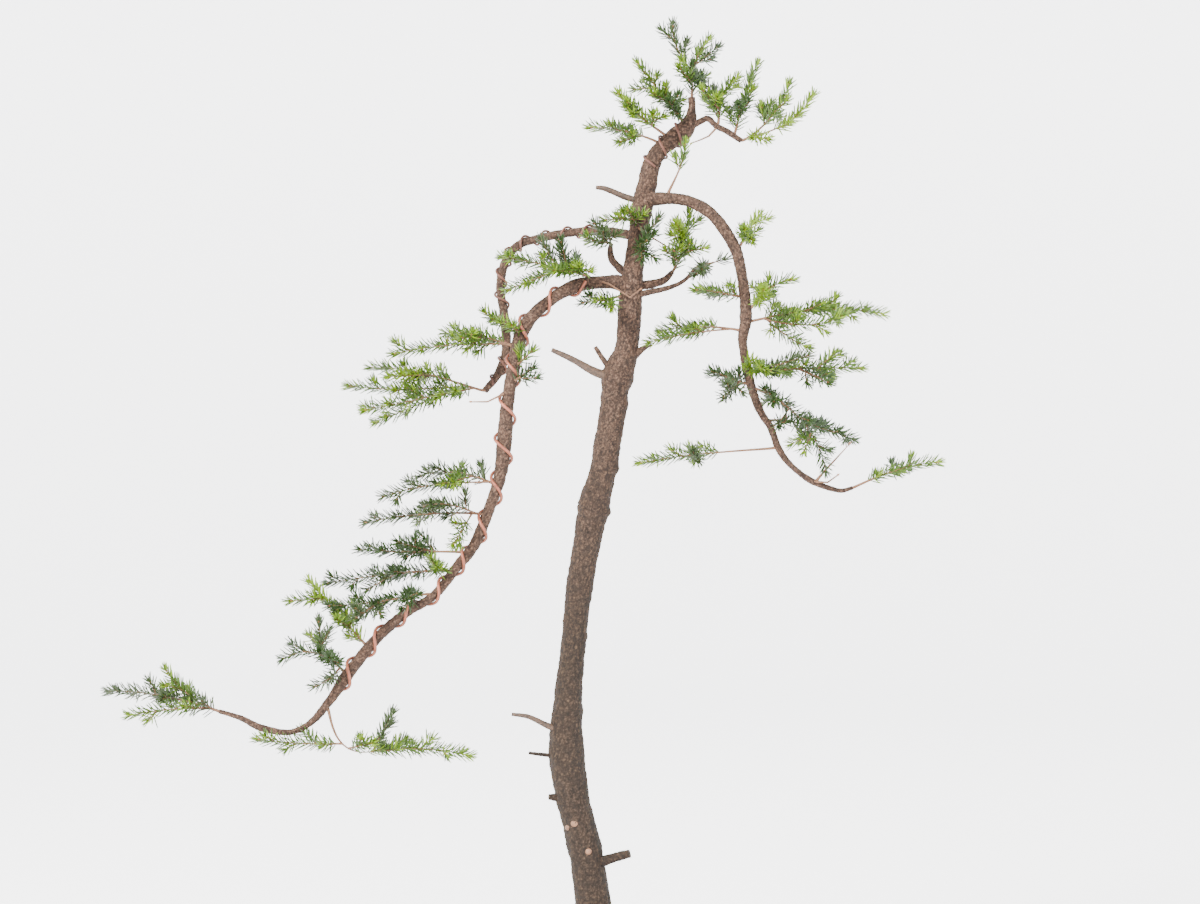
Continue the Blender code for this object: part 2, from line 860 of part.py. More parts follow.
def shoot_path(start, heading, tip, bow, stub):
    """Points from start to tip: a short stub along heading, the bend, then even steps."""
    way = tip - start
    across = Vector((-way.z, 0, way.x)).normalized()
    base = start + heading * stub
    corners = (
        base,
        base + heading * CORE_BEND,
        base.lerp(tip, BOW_PLACE) + across * (bow * MM * BOW_GAIN),
        tip,
    )
    fine = [bezier(corners, step / CURVE_STEPS) for step in range(CURVE_STEPS + 1)]
    lengths = np.cumsum([0] + [(b - a).length for a, b in zip(fine, fine[1:])])
    total = lengths[-1]
    body = max(total - NEEDLE_START - TIP_PITCH, NEEDLE_PITCH)
    steps = max(1, round(body / NEEDLE_PITCH))
    marks = [0] + [NEEDLE_START + body * step / steps for step in range(steps)]
    marks += [total - TIP_PITCH, total]
    places = np.interp(marks, lengths, np.arange(len(fine)))
    path = [fine[int(p)].lerp(fine[min(int(p) + 1, CURVE_STEPS)], p % 1) for p in places]
    return ([start] if stub else []) + path


def root_on(limb, mark, tip, wires):
    """Where a stem leaves the limb towards its tip: the point, the way out."""
    axis = limb["axis"]
    if mark is None:
        ahead = (axis[-1] - axis[-2]).normalized()
        return axis[-1] + ahead * GAP, ahead
    spot = Vector((mark[0] * MM, 0, mark[1] * MM))
    nearest = min(range(1, len(axis) - 1), key=lambda i: (axis[i].xz - spot.xz).length)
    for shift in ROOT_SHIFTS:
        index = min(max(nearest + shift, 1), len(axis) - 2)
        ahead = (axis[index + 1] - axis[index - 1]).normalized()
        out = tip - axis[index]
        out = (out - ahead * out.dot(ahead)).normalized()
        outside = axis[index] + out * ROOT_REACH
        hits = [surface.ray_cast(outside, -out, ROOT_REACH) for surface in limb["surfaces"]]
        hits = [hit for hit in hits if hit[0]]
        if not hits:
            continue
        hit, normal, _, _ = min(hits, key=lambda found: found[3])
        if not near(wires, hit + normal * CORE_RADIUS, CORE_CLEAR):
            break
    return hit + normal * GAP, normal


def point_along(path, share):
    """The point at a share of the path's length, and never right at its foot."""
    left = max(share * sum((b - a).length for a, b in zip(path, path[1:])), CORE_BEND)
    for one, other in zip(path, path[1:]):
        length = (other - one).length
        if left <= length:
            return one.lerp(other, left / length)
        left -= length
    return path[-2].lerp(path[-1], 0.9)


def touches(path, surfaces):
    """Whether a shoot comes too near to anything past its first few millimetres."""
    run = 0.0
    for one, other in zip(path, path[1:]):
        length = (other - one).length
        for step in range(math.ceil(length / PROBE_STEP)):
            way = step * PROBE_STEP
            spot = one.lerp(other, way / length)
            if run + way > CORE_BEND and near(surfaces, spot, CORE_CLEAR):
                return True
        run += length
    return False


def between(path, shares):
    """Points at the given shares of every stretch of the path."""
    return [one.lerp(other, share) for one, other in zip(path, path[1:]) for share in shares]


def grow_needles(core, path, bare, source, taken, others, surfaces):
    """Raises a needle from each face of the core that has room for it."""
    body = bmesh.new()
    body.from_mesh(core.data)
    lengths = np.cumsum([0] + [(b - a).length for a, b in zip(path, path[1:])])
    middles = between(path, (0.5,))
    first = max(NEEDLE_START, bare * lengths[-1]) - MM
    for face in [side for side in body.faces if len(side.verts) == 4]:
        centre = face.calc_center_median()
        index = min(range(len(middles)), key=lambda i: (middles[i] - centre).length)
        if lengths[index] < first:
            continue
        stretch = path[index + 1] - path[index]
        ahead = stretch.normalized()
        out = (face.normal - ahead * face.normal.dot(ahead)).normalized()
        aim = out * math.sin(NEEDLE_LEAN) + ahead * math.cos(NEEDLE_LEAN)
        length = NEEDLE_LENGTH * source.uniform(1 - NEEDLE_SPREAD, 1 + NEEDLE_SPREAD)
        tip = centre + aim * length
        foot = stretch * NEEDLE_FOOT
        edges = between((centre - foot, tip, centre, tip, centre + foot), (0, 0.2, 0.5, 0.8))
        line = between((centre, tip), (0.25, 0.5, 0.75, 1))
        if any(near(surfaces, spot, NEEDLE_CLEAR) for spot in edges):
            continue
        if any((spot - other).length < SHOOT_CLEAR for spot in line for other in others):
            continue
        if any((spot - other).length < NEEDLE_CLEAR for spot in line for other in taken):
            continue
        raised = bmesh.ops.poke(body, faces=[face])["verts"][0]
        raised.co = tip
        taken.extend(line)
    bmesh.ops.triangulate(body, faces=body.faces)
    body.to_mesh(core.data)
    body.free()


def keep_largest(mesh):
    """Drops loose scraps and sealed hollows, which are all the smaller shells."""
    body = bmesh.new()
    body.from_mesh(mesh)
    left = set(body.verts)
    shells = []
    while left:
        shell = set()
        edge = {left.pop()}
        while edge:
            shell |= edge
            edge = {e.other_vert(v) for v in edge for e in v.link_edges} - shell
        left -= shell
        shells.append(shell)
    shells.sort(key=len)
    bmesh.ops.delete(body, geom=[v for shell in shells[:-1] for v in shell], context="VERTS")
    body.to_mesh(mesh)
    body.free()


def make_spray(name, row, limbs, surfaces, wires, section, collection, workshop):
    """One mass of foliage: a stem, its forks and their needles, joined in one solid."""
    limb_name, mark, stem_row, *fork_rows = row
    limb = limbs[limb_name]
    source = random.Random(f"{SEED} {name}")
    tip = Vector(stem_row[:3]) * MM
    start, heading = root_on(limb, mark, tip, wires)
    stem = shoot_path(start, heading, tip, stem_row[3], CORE_STUB)
    shoots = [(stem, stem_row[4], CORE_RADIUS)]
    for share, *tip_mm, bow, bare in fork_rows:
        base = point_along(stem, share)
        end = Vector(tip_mm) * MM
        path = shoot_path(base, (end - base).normalized(), end, bow, 0)
        if not touches(path, surfaces):
            shoots.append((path, bare, FORK_RADIUS))
    group = new_collection(name + "_forks", workshop)
    taken = []
    pieces = []
    for number, (path, bare, radius) in enumerate(shoots):
        target = group if number else collection
        sizes = np.linspace(radius, CORE_TIP_RADIUS, len(path))
        label = name if number == 0 else f"{name}_{number}"
        core = solid_tube(label, path, sizes, 0, target, section, CORE_TWIST)
        rest = [between(other, (0, 1 / 3, 2 / 3)) for other, _, _ in shoots if other is not path]
        others = [spot for spots in rest for spot in spots]
        grow_needles(core, path, bare, source, taken, others, surfaces)
        pieces.append(core)
    if len(pieces) > 1:
        boolean(pieces[0], "UNION", group=group)
    keep_largest(pieces[0].data)
    for piece in pieces[1:]:
        bpy.data.objects.remove(piece)
    pieces[0].data.materials.clear()
    pieces[0].data.materials.append(finish("needles"))
    return pieces[0]


def make_section(workshop):
    """The three-cornered outline of a shoot's core, one metre across its radius."""
    data = bpy.data.curves.new("core_section", "CURVE")
    data.dimensions = "2D"
    spline = data.splines.new("POLY")
    spline.points.add(2)
    for number, point in enumerate(spline.points):
        angle = number * 2 * math.pi / 3
        point.co = (math.cos(angle), math.sin(angle), 0, 1)
    spline.use_cyclic_u = True
    obj = bpy.data.objects.new("core_section", data)
    workshop.objects.link(obj)
    obj.hide_render = True
    return obj


def main():
    clear_scene()
    tree = new_collection("spruce_bonsai")
    workshop = new_collection("cutters")
    make_pot(tree)
    make_soil(tree)
    trunk = make_trunk(tree, workshop)
    points, radii = smooth_path(TRUNK, TRUNK_STEP)
    cutter = solid_tube("trunk_clearance", points, radii + GAP, TRUNK_RESOLUTION, workshop)
    cutter.hide_render = True
    cutter.display_type = "WIRE"

    axes = {"trunk": TRUNK}
    pieces = {"trunk": [trunk]}
    for name, row in LIMBS.items():
        axes[name] = row[0]
        pieces[name] = make_limb(name, row, tree, cutter)
    wires = [surface_of(make_wire(name, row, tree)) for name, row in WIRES.items()]

    limbs = {}
    surfaces = list(wires)
    for name, stations in axes.items():
        points, _ = smooth_path(stations, AXIS_STEP)
        skins = [surface_of(piece) for piece in pieces[name]]
        limbs[name] = {"axis": [Vector(point) for point in points], "surfaces": skins}
        surfaces += skins
    section = make_section(workshop)
    for name, row in SPRAYS.items():
        spray = make_spray(name, row, limbs, surfaces, wires, section, tree, workshop)
        surfaces.append(surface_of(spray))


main()
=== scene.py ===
"""The spruce bonsai as the photograph shows it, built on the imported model."""

import math
import random

import bmesh
import bpy
import numpy as np
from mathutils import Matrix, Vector, noise


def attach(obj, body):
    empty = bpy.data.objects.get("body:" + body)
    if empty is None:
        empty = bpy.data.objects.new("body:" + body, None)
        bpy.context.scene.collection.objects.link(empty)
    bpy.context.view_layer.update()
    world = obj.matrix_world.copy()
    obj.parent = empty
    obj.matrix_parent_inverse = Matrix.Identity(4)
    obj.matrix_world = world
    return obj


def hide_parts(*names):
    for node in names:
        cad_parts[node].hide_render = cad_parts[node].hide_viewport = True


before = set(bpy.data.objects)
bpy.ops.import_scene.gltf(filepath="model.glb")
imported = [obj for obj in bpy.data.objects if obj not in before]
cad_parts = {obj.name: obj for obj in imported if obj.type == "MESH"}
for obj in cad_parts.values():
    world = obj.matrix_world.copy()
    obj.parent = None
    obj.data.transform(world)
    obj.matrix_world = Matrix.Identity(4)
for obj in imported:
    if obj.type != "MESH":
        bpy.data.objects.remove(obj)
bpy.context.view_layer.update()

MM = 0.001


# Studio: the tree stands before a plain pale wall, lit softly from the upper left. A round
# wall with a coved foot gives the same ground from every side.
ROOM_RADIUS = 9.0
ROOM_COVE = 2.5
ROOM_HEIGHT = 8.0
COVE_STEPS = 12
ROOM_SIDES = 96
CAMERA_DISTANCE = 3.5
CAMERA_HEIGHT = 0.790
CAMERA_LENS = 84.0
SENSOR_WIDTH = 36.0


def link(obj):
    bpy.context.scene.collection.objects.link(obj)
    return obj


def evaluated_mesh(obj):
    bpy.context.view_layer.update()
    graph = bpy.context.evaluated_depsgraph_get()
    return bpy.data.meshes.new_from_object(obj.evaluated_get(graph))


def bake(obj):
    """The object with its modifiers worked into its mesh."""
    mesh = evaluated_mesh(obj)
    obj.modifiers.clear()
    obj.data = mesh
    return obj


def turned(name, profile, sides):
    """A surface of revolution from (radius, height) pairs."""
    mesh = bpy.data.meshes.new(name)
    mesh.from_pydata(
        [(radius, 0, height) for radius, height in profile],
        [(index, index + 1) for index in range(len(profile) - 1)],
        [],
    )
    obj = link(bpy.data.objects.new(name, mesh))
    screw = obj.modifiers.new("turn", "SCREW")
    screw.steps = sides
    screw.render_steps = sides
    screw.use_merge_vertices = True
    screw.merge_threshold = 1e-5
    screw.use_smooth_shade = True
    return bake(obj)


def new_material(name, roughness):
    """A Principled material, with its nodes, links and shader."""
    material = bpy.data.materials.new(name)
    material.use_nodes = True
    tree = material.node_tree
    shader = tree.nodes["Principled BSDF"]
    shader.inputs["Roughness"].default_value = roughness
    return material, tree.nodes, tree.links, shader


def aim(obj, target):
    obj.rotation_euler = (Vector(target) - obj.location).to_track_quat("-Z", "Y").to_euler()


cove = [
    (
        ROOM_RADIUS - ROOM_COVE + ROOM_COVE * math.sin(step / COVE_STEPS * math.pi / 2),
        ROOM_COVE - ROOM_COVE * math.cos(step / COVE_STEPS * math.pi / 2),
    )
    for step in range(COVE_STEPS + 1)
]
room = turned("studio_wall", [(0, 0), *cove, (ROOM_RADIUS, ROOM_HEIGHT)], ROOM_SIDES)
wall_paint, _, _, shader = new_material("wall_paint", 0.95)
shader.inputs["Base Color"].default_value = (0.86, 0.86, 0.87, 1)
shader.inputs["Specular IOR Level"].default_value = 0.1
shader.inputs["Emission Color"].default_value = (1.0, 1.0, 1.0, 1)
shader.inputs["Emission Strength"].default_value = 1.6
room.data.materials.append(wall_paint)

camera_data = bpy.data.cameras.new("camera")
camera_data.lens = CAMERA_LENS
camera_data.sensor_width = SENSOR_WIDTH
camera = link(bpy.data.objects.new("camera", camera_data))
camera.location = (0, -CAMERA_DISTANCE, CAMERA_HEIGHT)
camera.rotation_euler = (math.pi / 2, 0, 0)
bpy.context.scene.camera = camera

world = bpy.data.worlds.new("soft_sky")
world.use_nodes = True
world.node_tree.nodes["Background"].inputs["Color"].default_value = (0.96, 0.98, 1.0, 1)
world.node_tree.nodes["Background"].inputs["Strength"].default_value = 1.3
bpy.context.scene.world = world
for name, spot, size, power, colour in (
    ("key", (-2.2, -3.0, 3.4), 1.3, 820, (1.0, 0.97, 0.92)),
    ("fill", (3.0, -2.4, 1.6), 2.4, 60, (0.95, 0.97, 1.0)),
    ("back", (0.5, 3.2, 3.2), 2.4, 60, (1.0, 1.0, 1.0)),
):
    lamp_data = bpy.data.lights.new(name, "AREA")
    lamp_data.size = size
    lamp_data.energy = power
    lamp_data.color = colour
    lamp = link(bpy.data.objects.new(name, lamp_data))
    lamp.location = spot
    aim(lamp, (0, 0, 0.75))


# Pot: a plain thrown drum of unglazed dark stoneware with a thick rounded lip and a turned
# foot, and faint rings where it was thrown.
POT_PROFILE = (
    (0, 10), (112, 10), (119, 12), (125, 22), (139, 92), (141, 100), (141.2, 108),
    (142.2, 110.8), (144.4, 112), (150.6, 112), (153.6, 111), (155, 108), (155, 103.2),
    (154, 100.6), (151.6, 99), (149.4, 97), (148.4, 92), (130.6, 12), (129.4, 6),
    (127, 2), (123, 0), (0, 0),
)
POT_SIDES = 128
PROFILE_STEP = 1.6
RING_DEPTH = 0.28 * MM
RING_PITCH = 6.5 * MM
RING_BAND = (0.004, 0.100)
POT_WALL_FROM = 0.110


def noise_ramp(nodes, links, coords, scale, detail, stops, roughness=0.6):
    """A colour ramp driven by a noise at that scale."""
    cloud = nodes.new("ShaderNodeTexNoise")
    cloud.inputs["Scale"].default_value = scale
    cloud.inputs["Detail"].default_value = detail
    cloud.inputs["Roughness"].default_value = roughness
    links.new(coords, cloud.inputs["Vector"])
    ramp = nodes.new("ShaderNodeValToRGB")
    for number, (place, colour) in enumerate(stops):
        elements = ramp.color_ramp.elements
        stop = elements[number] if number < 2 else elements.new(place)
        stop.position = place
        stop.color = (*colour, 1)
    links.new(cloud.outputs["Fac"], ramp.inputs["Fac"])
    return ramp.outputs["Color"]


def blend_colours(nodes, links, share, first, second):
    """The second colour over the first by the share, a number or a socket."""
    mix = nodes.new("ShaderNodeMix")
    mix.data_type = "RGBA"
    if isinstance(share, float):
        mix.inputs[0].default_value = share
    else:
        links.new(share, mix.inputs[0])
    links.new(first, mix.inputs[6])
    links.new(second, mix.inputs[7])
    return mix.outputs[2]


def add_bump(nodes, links, coords, shader, scale, distance, strength=0.6):
    grain = nodes.new("ShaderNodeTexNoise")
    grain.inputs["Scale"].default_value = scale
    grain.inputs["Detail"].default_value = 4
    links.new(coords, grain.inputs["Vector"])
    bump = nodes.new("ShaderNodeBump")
    bump.inputs["Distance"].default_value = distance
    bump.inputs["Strength"].default_value = strength
    links.new(grain.outputs["Fac"], bump.inputs["Height"])
    links.new(bump.outputs["Normal"], shader.inputs["Normal"])


def grained(name, roughness, layers, bump):
    """A material of noise layers, each (scale, share over the last, stops)."""
    material, nodes, links, shader = new_material(name, roughness)
    coords = nodes.new("ShaderNodeTexCoord").outputs["Object"]
    colour = None
    for scale, share, stops in layers:
        layer = noise_ramp(nodes, links, coords, scale, 6, stops)
        colour = layer if colour is None else blend_colours(nodes, links, share, colour, layer)
    links.new(colour, shader.inputs["Base Color"])
    add_bump(nodes, links, coords, shader, *bump)
    return material


profile = [np.array(POT_PROFILE[0], float)]
for start, end in zip(POT_PROFILE, POT_PROFILE[1:]):
    start, end = np.array(start, float), np.array(end, float)
    parts = max(1, round(float(np.linalg.norm(end - start)) / PROFILE_STEP))
    profile += [start + (end - start) * part / parts for part in range(1, parts + 1)]
pot = turned("stoneware_pot", [tuple(point * MM) for point in profile], POT_SIDES)
for vertex in pot.data.vertices:
    across = Vector((vertex.co.x, vertex.co.y, 0))
    if across.length > POT_WALL_FROM and RING_BAND[0] < vertex.co.z < RING_BAND[1]:
        ring = math.sin(vertex.co.z / RING_PITCH * 2 * math.pi)
        wobble = noise.noise(vertex.co * 14)
        vertex.co += across.normalized() * (ring * RING_DEPTH * (0.6 + wobble))
stoneware = grained(
    "stoneware",
    0.72,
    (
        (26, 1.0, ((0.3, (0.010, 0.006, 0.005)), (0.7, (0.030, 0.019, 0.014)))),
        (420, 0.35, ((0.45, (0.006, 0.004, 0.003)), (0.62, (0.060, 0.042, 0.032)))),
    ),
    (900, 0.0004),
)
pot.data.materials.append(stoneware)
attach(pot, "root")
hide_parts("pot")


# Soil: baked granular soil in a low mound, its top covered by loose grains of a few sizes,
# grey-brown to tan.
SOIL_PROFILE = ((0, 104.4), (62, 104.0), (100, 102.4), (138.5, 97.0), (119, 11), (0, 11))
SOIL_TOP_POINTS = 4
SOIL_SIDES = 96
GRAIN_COUNT = 2600
GRAIN_REACH = 137
GRAIN_TURN = 6.28
GRAIN_UNEVEN = 0.28
GRAIN_FLATNESS = 0.75
GRAIN_SEED = 4
GRAIN_SIZES = (1.3 * MM, 3.2 * MM)


def scatter_group(name):
    """Nodes that set a shape on every point, turned and sized by its attributes."""
    group = bpy.data.node_groups.new(name, "GeometryNodeTree")
    face = group.interface
    face.new_socket("Geometry", in_out="INPUT", socket_type="NodeSocketGeometry")
    face.new_socket("Shape", in_out="INPUT", socket_type="NodeSocketObject")
    face.new_socket("Material", in_out="INPUT", socket_type="NodeSocketMaterial")
    face.new_socket("Geometry", in_out="OUTPUT", socket_type="NodeSocketGeometry")
    entry = group.nodes.new("NodeGroupInput")
    leave = group.nodes.new("NodeGroupOutput")
    shape = group.nodes.new("GeometryNodeObjectInfo")
    instance = group.nodes.new("GeometryNodeInstanceOnPoints")
    real = group.nodes.new("GeometryNodeRealizeInstances")
    paint = group.nodes.new("GeometryNodeSetMaterial")
    group.links.new(entry.outputs["Shape"], shape.inputs["Object"])
    group.links.new(entry.outputs["Geometry"], instance.inputs["Points"])
    group.links.new(shape.outputs["Geometry"], instance.inputs["Instance"])
    for attribute, socket in (("turn", "Rotation"), ("size", "Scale")):
        reader = group.nodes.new("GeometryNodeInputNamedAttribute")
        reader.data_type = "FLOAT_VECTOR"
        reader.inputs["Name"].default_value = attribute
        group.links.new(reader.outputs["Attribute"], instance.inputs[socket])
    group.links.new(instance.outputs["Instances"], real.inputs["Geometry"])
    group.links.new(real.outputs["Geometry"], paint.inputs["Geometry"])
    group.links.new(entry.outputs["Material"], paint.inputs["Material"])
    group.links.new(paint.outputs["Geometry"], leave.inputs["Geometry"])
    return group


SCATTER = scatter_group("set_shapes")


def scatter(name, spots, turns, sizes, shape, material):
    """One mesh of the shape set at every spot."""
    mesh = bpy.data.meshes.new(name)
    mesh.from_pydata([tuple(spot) for spot in spots], [], [])
    for label, values in (("turn", turns), ("size", sizes)):
        attribute = mesh.attributes.new(label, "FLOAT_VECTOR", "POINT")
        attribute.data.foreach_set("vector", np.array(values, float).ravel())
    obj = link(bpy.data.objects.new(name, mesh))
    modifier = obj.modifiers.new("scatter", "NODES")
    modifier.node_group = SCATTER
    given = {"Shape": shape, "Material": material}
    for item in SCATTER.interface.items_tree:
        if item.in_out == "INPUT" and item.name in given:
            modifier[item.identifier] = given[item.name]
    bake(obj)
    for label in ("turn", "size"):
        if label in obj.data.attributes:
            obj.data.attributes.remove(obj.data.attributes[label])
    return obj


soil_points = [tuple(np.array(point, float) * MM) for point in SOIL_PROFILE]
soil = turned("soil_body", soil_points, SOIL_SIDES)
soil_colours = grained(
    "soil",
    0.95,
    (
        (60, 1.0, ((0.35, (0.022, 0.014, 0.010)), (0.65, (0.070, 0.046, 0.030)))),
        (500, 0.5, ((0.45, (0.014, 0.010, 0.007)), (0.60, (0.140, 0.098, 0.064)))),
    ),
    (1200, 0.0006),
)
soil.data.materials.append(soil_colours)
grain_mesh = bpy.data.meshes.new("grain")
grain_body = bmesh.new()
bmesh.ops.create_icosphere(grain_body, subdivisions=1, radius=1)
for vertex in grain_body.verts:
    vertex.co *= 1 + GRAIN_UNEVEN * noise.noise(vertex.co * 1.7)
    vertex.co.z *= GRAIN_FLATNESS
grain_body.to_mesh(grain_mesh)
grain_body.free()
grain = link(bpy.data.objects.new("grain", grain_mesh))
source = random.Random(GRAIN_SEED)
spots, turns, sizes = [], [], []
for _ in range(GRAIN_COUNT):
    reach = GRAIN_REACH * math.sqrt(source.random())
    angle = source.uniform(0, 2 * math.pi)
    height = np.interp(reach, *zip(*SOIL_PROFILE[:SOIL_TOP_POINTS]))
    spots.append(Vector((reach * math.cos(angle), reach * math.sin(angle), height)) * MM)
    turns.append([source.uniform(0, GRAIN_TURN) for _ in range(3)])
    size = source.uniform(*GRAIN_SIZES)
    sizes.append([size * source.uniform(0.8, 1.2) for _ in range(3)])
grains = scatter("soil_grains", spots, turns, sizes, grain, soil_colours)
bpy.data.objects.remove(grain)
for piece in (soil, grains):
    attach(piece, "root")
    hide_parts("soil")


# Trunk: one slim leaning stem from its flared foot to its tip, in scaly bark that is dark
# and fine below and paler and pinker above, with knots, scars and broken stubs.
# A limb is a row of right, back, up and diameter in mm.
TRUNK = (
    (5, 0, 105.3, 84), (5, 0, 118, 68), (4, 0, 138, 56), (0, 1, 172, 49), (-8, 2, 225, 45),
    (-19, 4, 292, 42), (-34, 7, 356, 42), (-42, 9, 410, 46), (-41, 11, 464, 38),
    (-34, 12, 542, 31), (-24, 11, 630, 34), (-15, 9, 682, 35), (-6, 6, 731, 39), (3, 4, 764, 34),
    (14, 1, 828, 34), (19, 0, 866, 34), (23, 0, 888, 41), (34, -1, 924, 29), (38, -2, 980, 30),
    (42, -2, 1018, 25), (46, -1, 1055, 23), (51, 0, 1086, 25), (56, 2, 1110, 26),
    (62, 4, 1142, 23), (74, 5, 1167, 21), (90, 5, 1181, 22), (105, 5, 1192, 24),
    (113, 4, 1206, 16), (115, 4, 1220, 10), (115, 4, 1234, 9),
)
TRUNK_STUBS = (
    ((16, -4, 890, 10), (5, -9, 904, 7), (-6, -12, 921, 5)),
    ((38, -2, 906, 12), (52, -6, 918, 8), (64, -8, 925, 5)),
    ((-42, 8, 408, 8), (-66, 2, 411, 5), (-89, -2, 414, 4)),
    ((-36, 6, 357, 14), (-54, 2, 358, 10), (-64, 0, 359, 7)),
    ((-14, 4, 270, 18), (12, -6, 282, 13), (37, -12, 290, 10)),
)
TRUNK_SIDES = 84
TRUNK_RINGS = 2.0 * MM
TRUNK_FOOT = 101
TRUNK_PLATE = 4.2 * MM
TRUNK_RELIEF = 1.1 * MM
STUB_RINGS = 1.5 * MM
STUB_SIDES = 20
STUB_PLATE = 4 * MM
STUB_RELIEF = 0.8 * MM
RELIEF_LIMIT = 0.16
CAP_CRACK_SHADE = 0.6
PLATE_SQUEEZE = 0.62
PLATE_WARP = 0.35
CRACK_STEEPNESS = 2.6
CRACK_SINK = 0.55
LUMP_SHARE = 0.11
LUMP_LIMIT = 1.5 * MM
BARK_SEED = 11
ROOT_LOBES = 5
ROOT_LOBE_DEPTH = 0.20
ROOT_FLARE_HEIGHT = 0.070
# Knots and collars on the viewer's side, and the pits of old scars: right, up, reach and
# height in mm
TRUNK_KNOTS = (
    (-12, 731, 11, 2.4), (2, 791, 6, 2.2), (-11, 741, 6, 2.2), (-15, 690, 7, 2.0),
    (22, 769, 6, 3.0), (-27, 724, 7, 2.4), (9, 715, 6, 2.2), (38, 850, 10, 2.4),
    (-52, 405, 9, 2.2), (-30, 468, 7, 1.6), (-20, 560, 6, 1.6), (-44, 500, 8, 1.8),
    (18, 888, 9, 2.0), (50, 1090, 8, 2.0), (64, 1150, 6, 1.6),
    (-11, 741, 3.5, -3.4), (-15, 690, 4.0, -3.6), (2, 791, 3.2, -3.0), (-27, 724, 2.5, -2.6),
    (-24, 372, 3.0, -2.4), (28, 872, 3.0, -2.4),
)


def smooth_path(stations, step):
    """Points and radii about a step apart, on a smooth curve through the stations."""
    known = np.array(stations, float) * MM
    ends = np.vstack([2 * known[0] - known[1], known, 2 * known[-1] - known[-2]])
    path = [known[0]]
    for before, start, end, after in zip(ends, ends[1:], ends[2:], ends[3:]):
        parts = max(1, round(float(np.linalg.norm((end - start)[:3])) / step))
        for part in range(1, parts + 1):
            t = part / parts
            path.append(
                0.5
                * (
                    2 * start
                    + (end - before) * t
                    + (2 * before - 5 * start + 4 * end - after) * t**2
                    + (3 * start - before - 3 * end + after) * t**3
                )
            )
    path = np.array(path)
    return path[:, :3], path[:, 3] / 2


def frames_along(points):
    """A side and an up direction at each point that turn as little as they can."""
    ahead = np.gradient(points, axis=0)
    ahead /= np.linalg.norm(ahead, axis=1)[:, None]
    side = np.cross(ahead[0], (0, 1, 0))
    sides = []
    for direction in ahead:
        side = side - direction * (side @ direction)
        side /= np.linalg.norm(side)
        sides.append(side)
    sides = np.array(sides)
    return sides, np.cross(ahead, sides)


def bark_height(spot, radius, cell, depth):
    """How far bark stands out, as plates on soft lumps, and a value that is low in the cracks
    between plates, which the bark material turns into painted shade.
    """
    stretched = Vector((spot.x, spot.y, spot.z * PLATE_SQUEEZE)) / cell
    stretched += noise.noise_vector(stretched * 0.8) * PLATE_WARP
    distances = noise.voronoi(stretched)[0]
    plate = min((distances[1] - distances[0]) * CRACK_STEEPNESS, 1.0)
    lump = noise.noise(spot * 42) * 1.1 + noise.noise(spot * 110 + Vector((3, 1, 2))) * 0.5
    fine = noise.noise(spot * 900) * 0.22
    lift = noise.noise(spot * 260) * 0.35
    height = depth * (plate * (0.8 + lift) - CRACK_SINK + fine)
    return height + lump * min(radius * LUMP_SHARE, LUMP_LIMIT), plate * (0.75 + lift)


def bark_tube(name, stations, step, sides, cell, depth, knots=(), flare=False):
    """A limb as a closed tube, the bark's plates and cracks shaped in the mesh, and as an
    attribute a value low in the cracks that the bark material turns into painted shade.
    """
    points, radii = smooth_path(stations, step)
    across, up = frames_along(points)
    corners = []
    crack_shades = []
    for centre, radius, side, other in zip(points, radii, across, up):
        for number in range(sides):
            angle = number * 2 * math.pi / sides
            out = Vector(math.cos(angle) * side + math.sin(angle) * other)
            spot = Vector(centre) + out * float(radius)
            most = min(depth, float(radius) * RELIEF_LIMIT)
            height, plate = bark_height(spot, float(radius), cell, most)
            for right, rise, reach, tall in knots:
                away = math.hypot(spot.x - right * MM, spot.z - rise * MM) / (reach * MM)
                if away < 2 and out.y < 0.2:
                    swell = math.exp(-away * away * 1.6)
                    height += tall * MM * swell
                    # A sunk scar pit also lowers the value that paints shade, so the pit is drawn
                    # darker as painted shade.
                    plate *= 1 - swell if tall < 0 else 1
            if flare:
                rise = (spot.z - stations[0][2] * MM) / ROOT_FLARE_HEIGHT
                if rise < 1:
                    turn = math.atan2(out.y, out.x)
                    lobe = math.cos(ROOT_LOBES * turn + 1) + 0.5 * math.cos(2 * turn)
                    height += float(radius) * lobe * ROOT_LOBE_DEPTH * (1 - max(rise, 0)) ** 2
            corners.append(spot + out * height)
            # This value darkens the bark colour in the cracks as painted shade.
            crack_shades.append(plate)
    count = len(points)
    faces = []
    for ring in range(count - 1):
        for number in range(sides):
            after = (number + 1) % sides
            one, two = ring * sides, (ring + 1) * sides
            faces.append((one + number, one + after, two + after, two + number))
    corners += [Vector(points[0]), Vector(points[-1])]
    last = (count - 1) * sides
    for number in range(sides):
        after = (number + 1) % sides
        faces.append((count * sides, after, number))
        faces.append((count * sides + 1, last + number, last + after))
    mesh = bpy.data.meshes.new(name)
    mesh.from_pydata([tuple(corner) for corner in corners], [], faces)
    mesh.polygons.foreach_set("use_smooth", [True] * len(faces))
    crack_shade = mesh.attributes.new("crack_shade", "FLOAT", "POINT")
    crack_shade.data.foreach_set("value", crack_shades + [CAP_CRACK_SHADE] * 2)
    body = bmesh.new()
    body.from_mesh(mesh)
    bmesh.ops.recalc_face_normals(body, faces=body.faces)
    body.to_mesh(mesh)
    body.free()
    return link(bpy.data.objects.new(name, mesh))


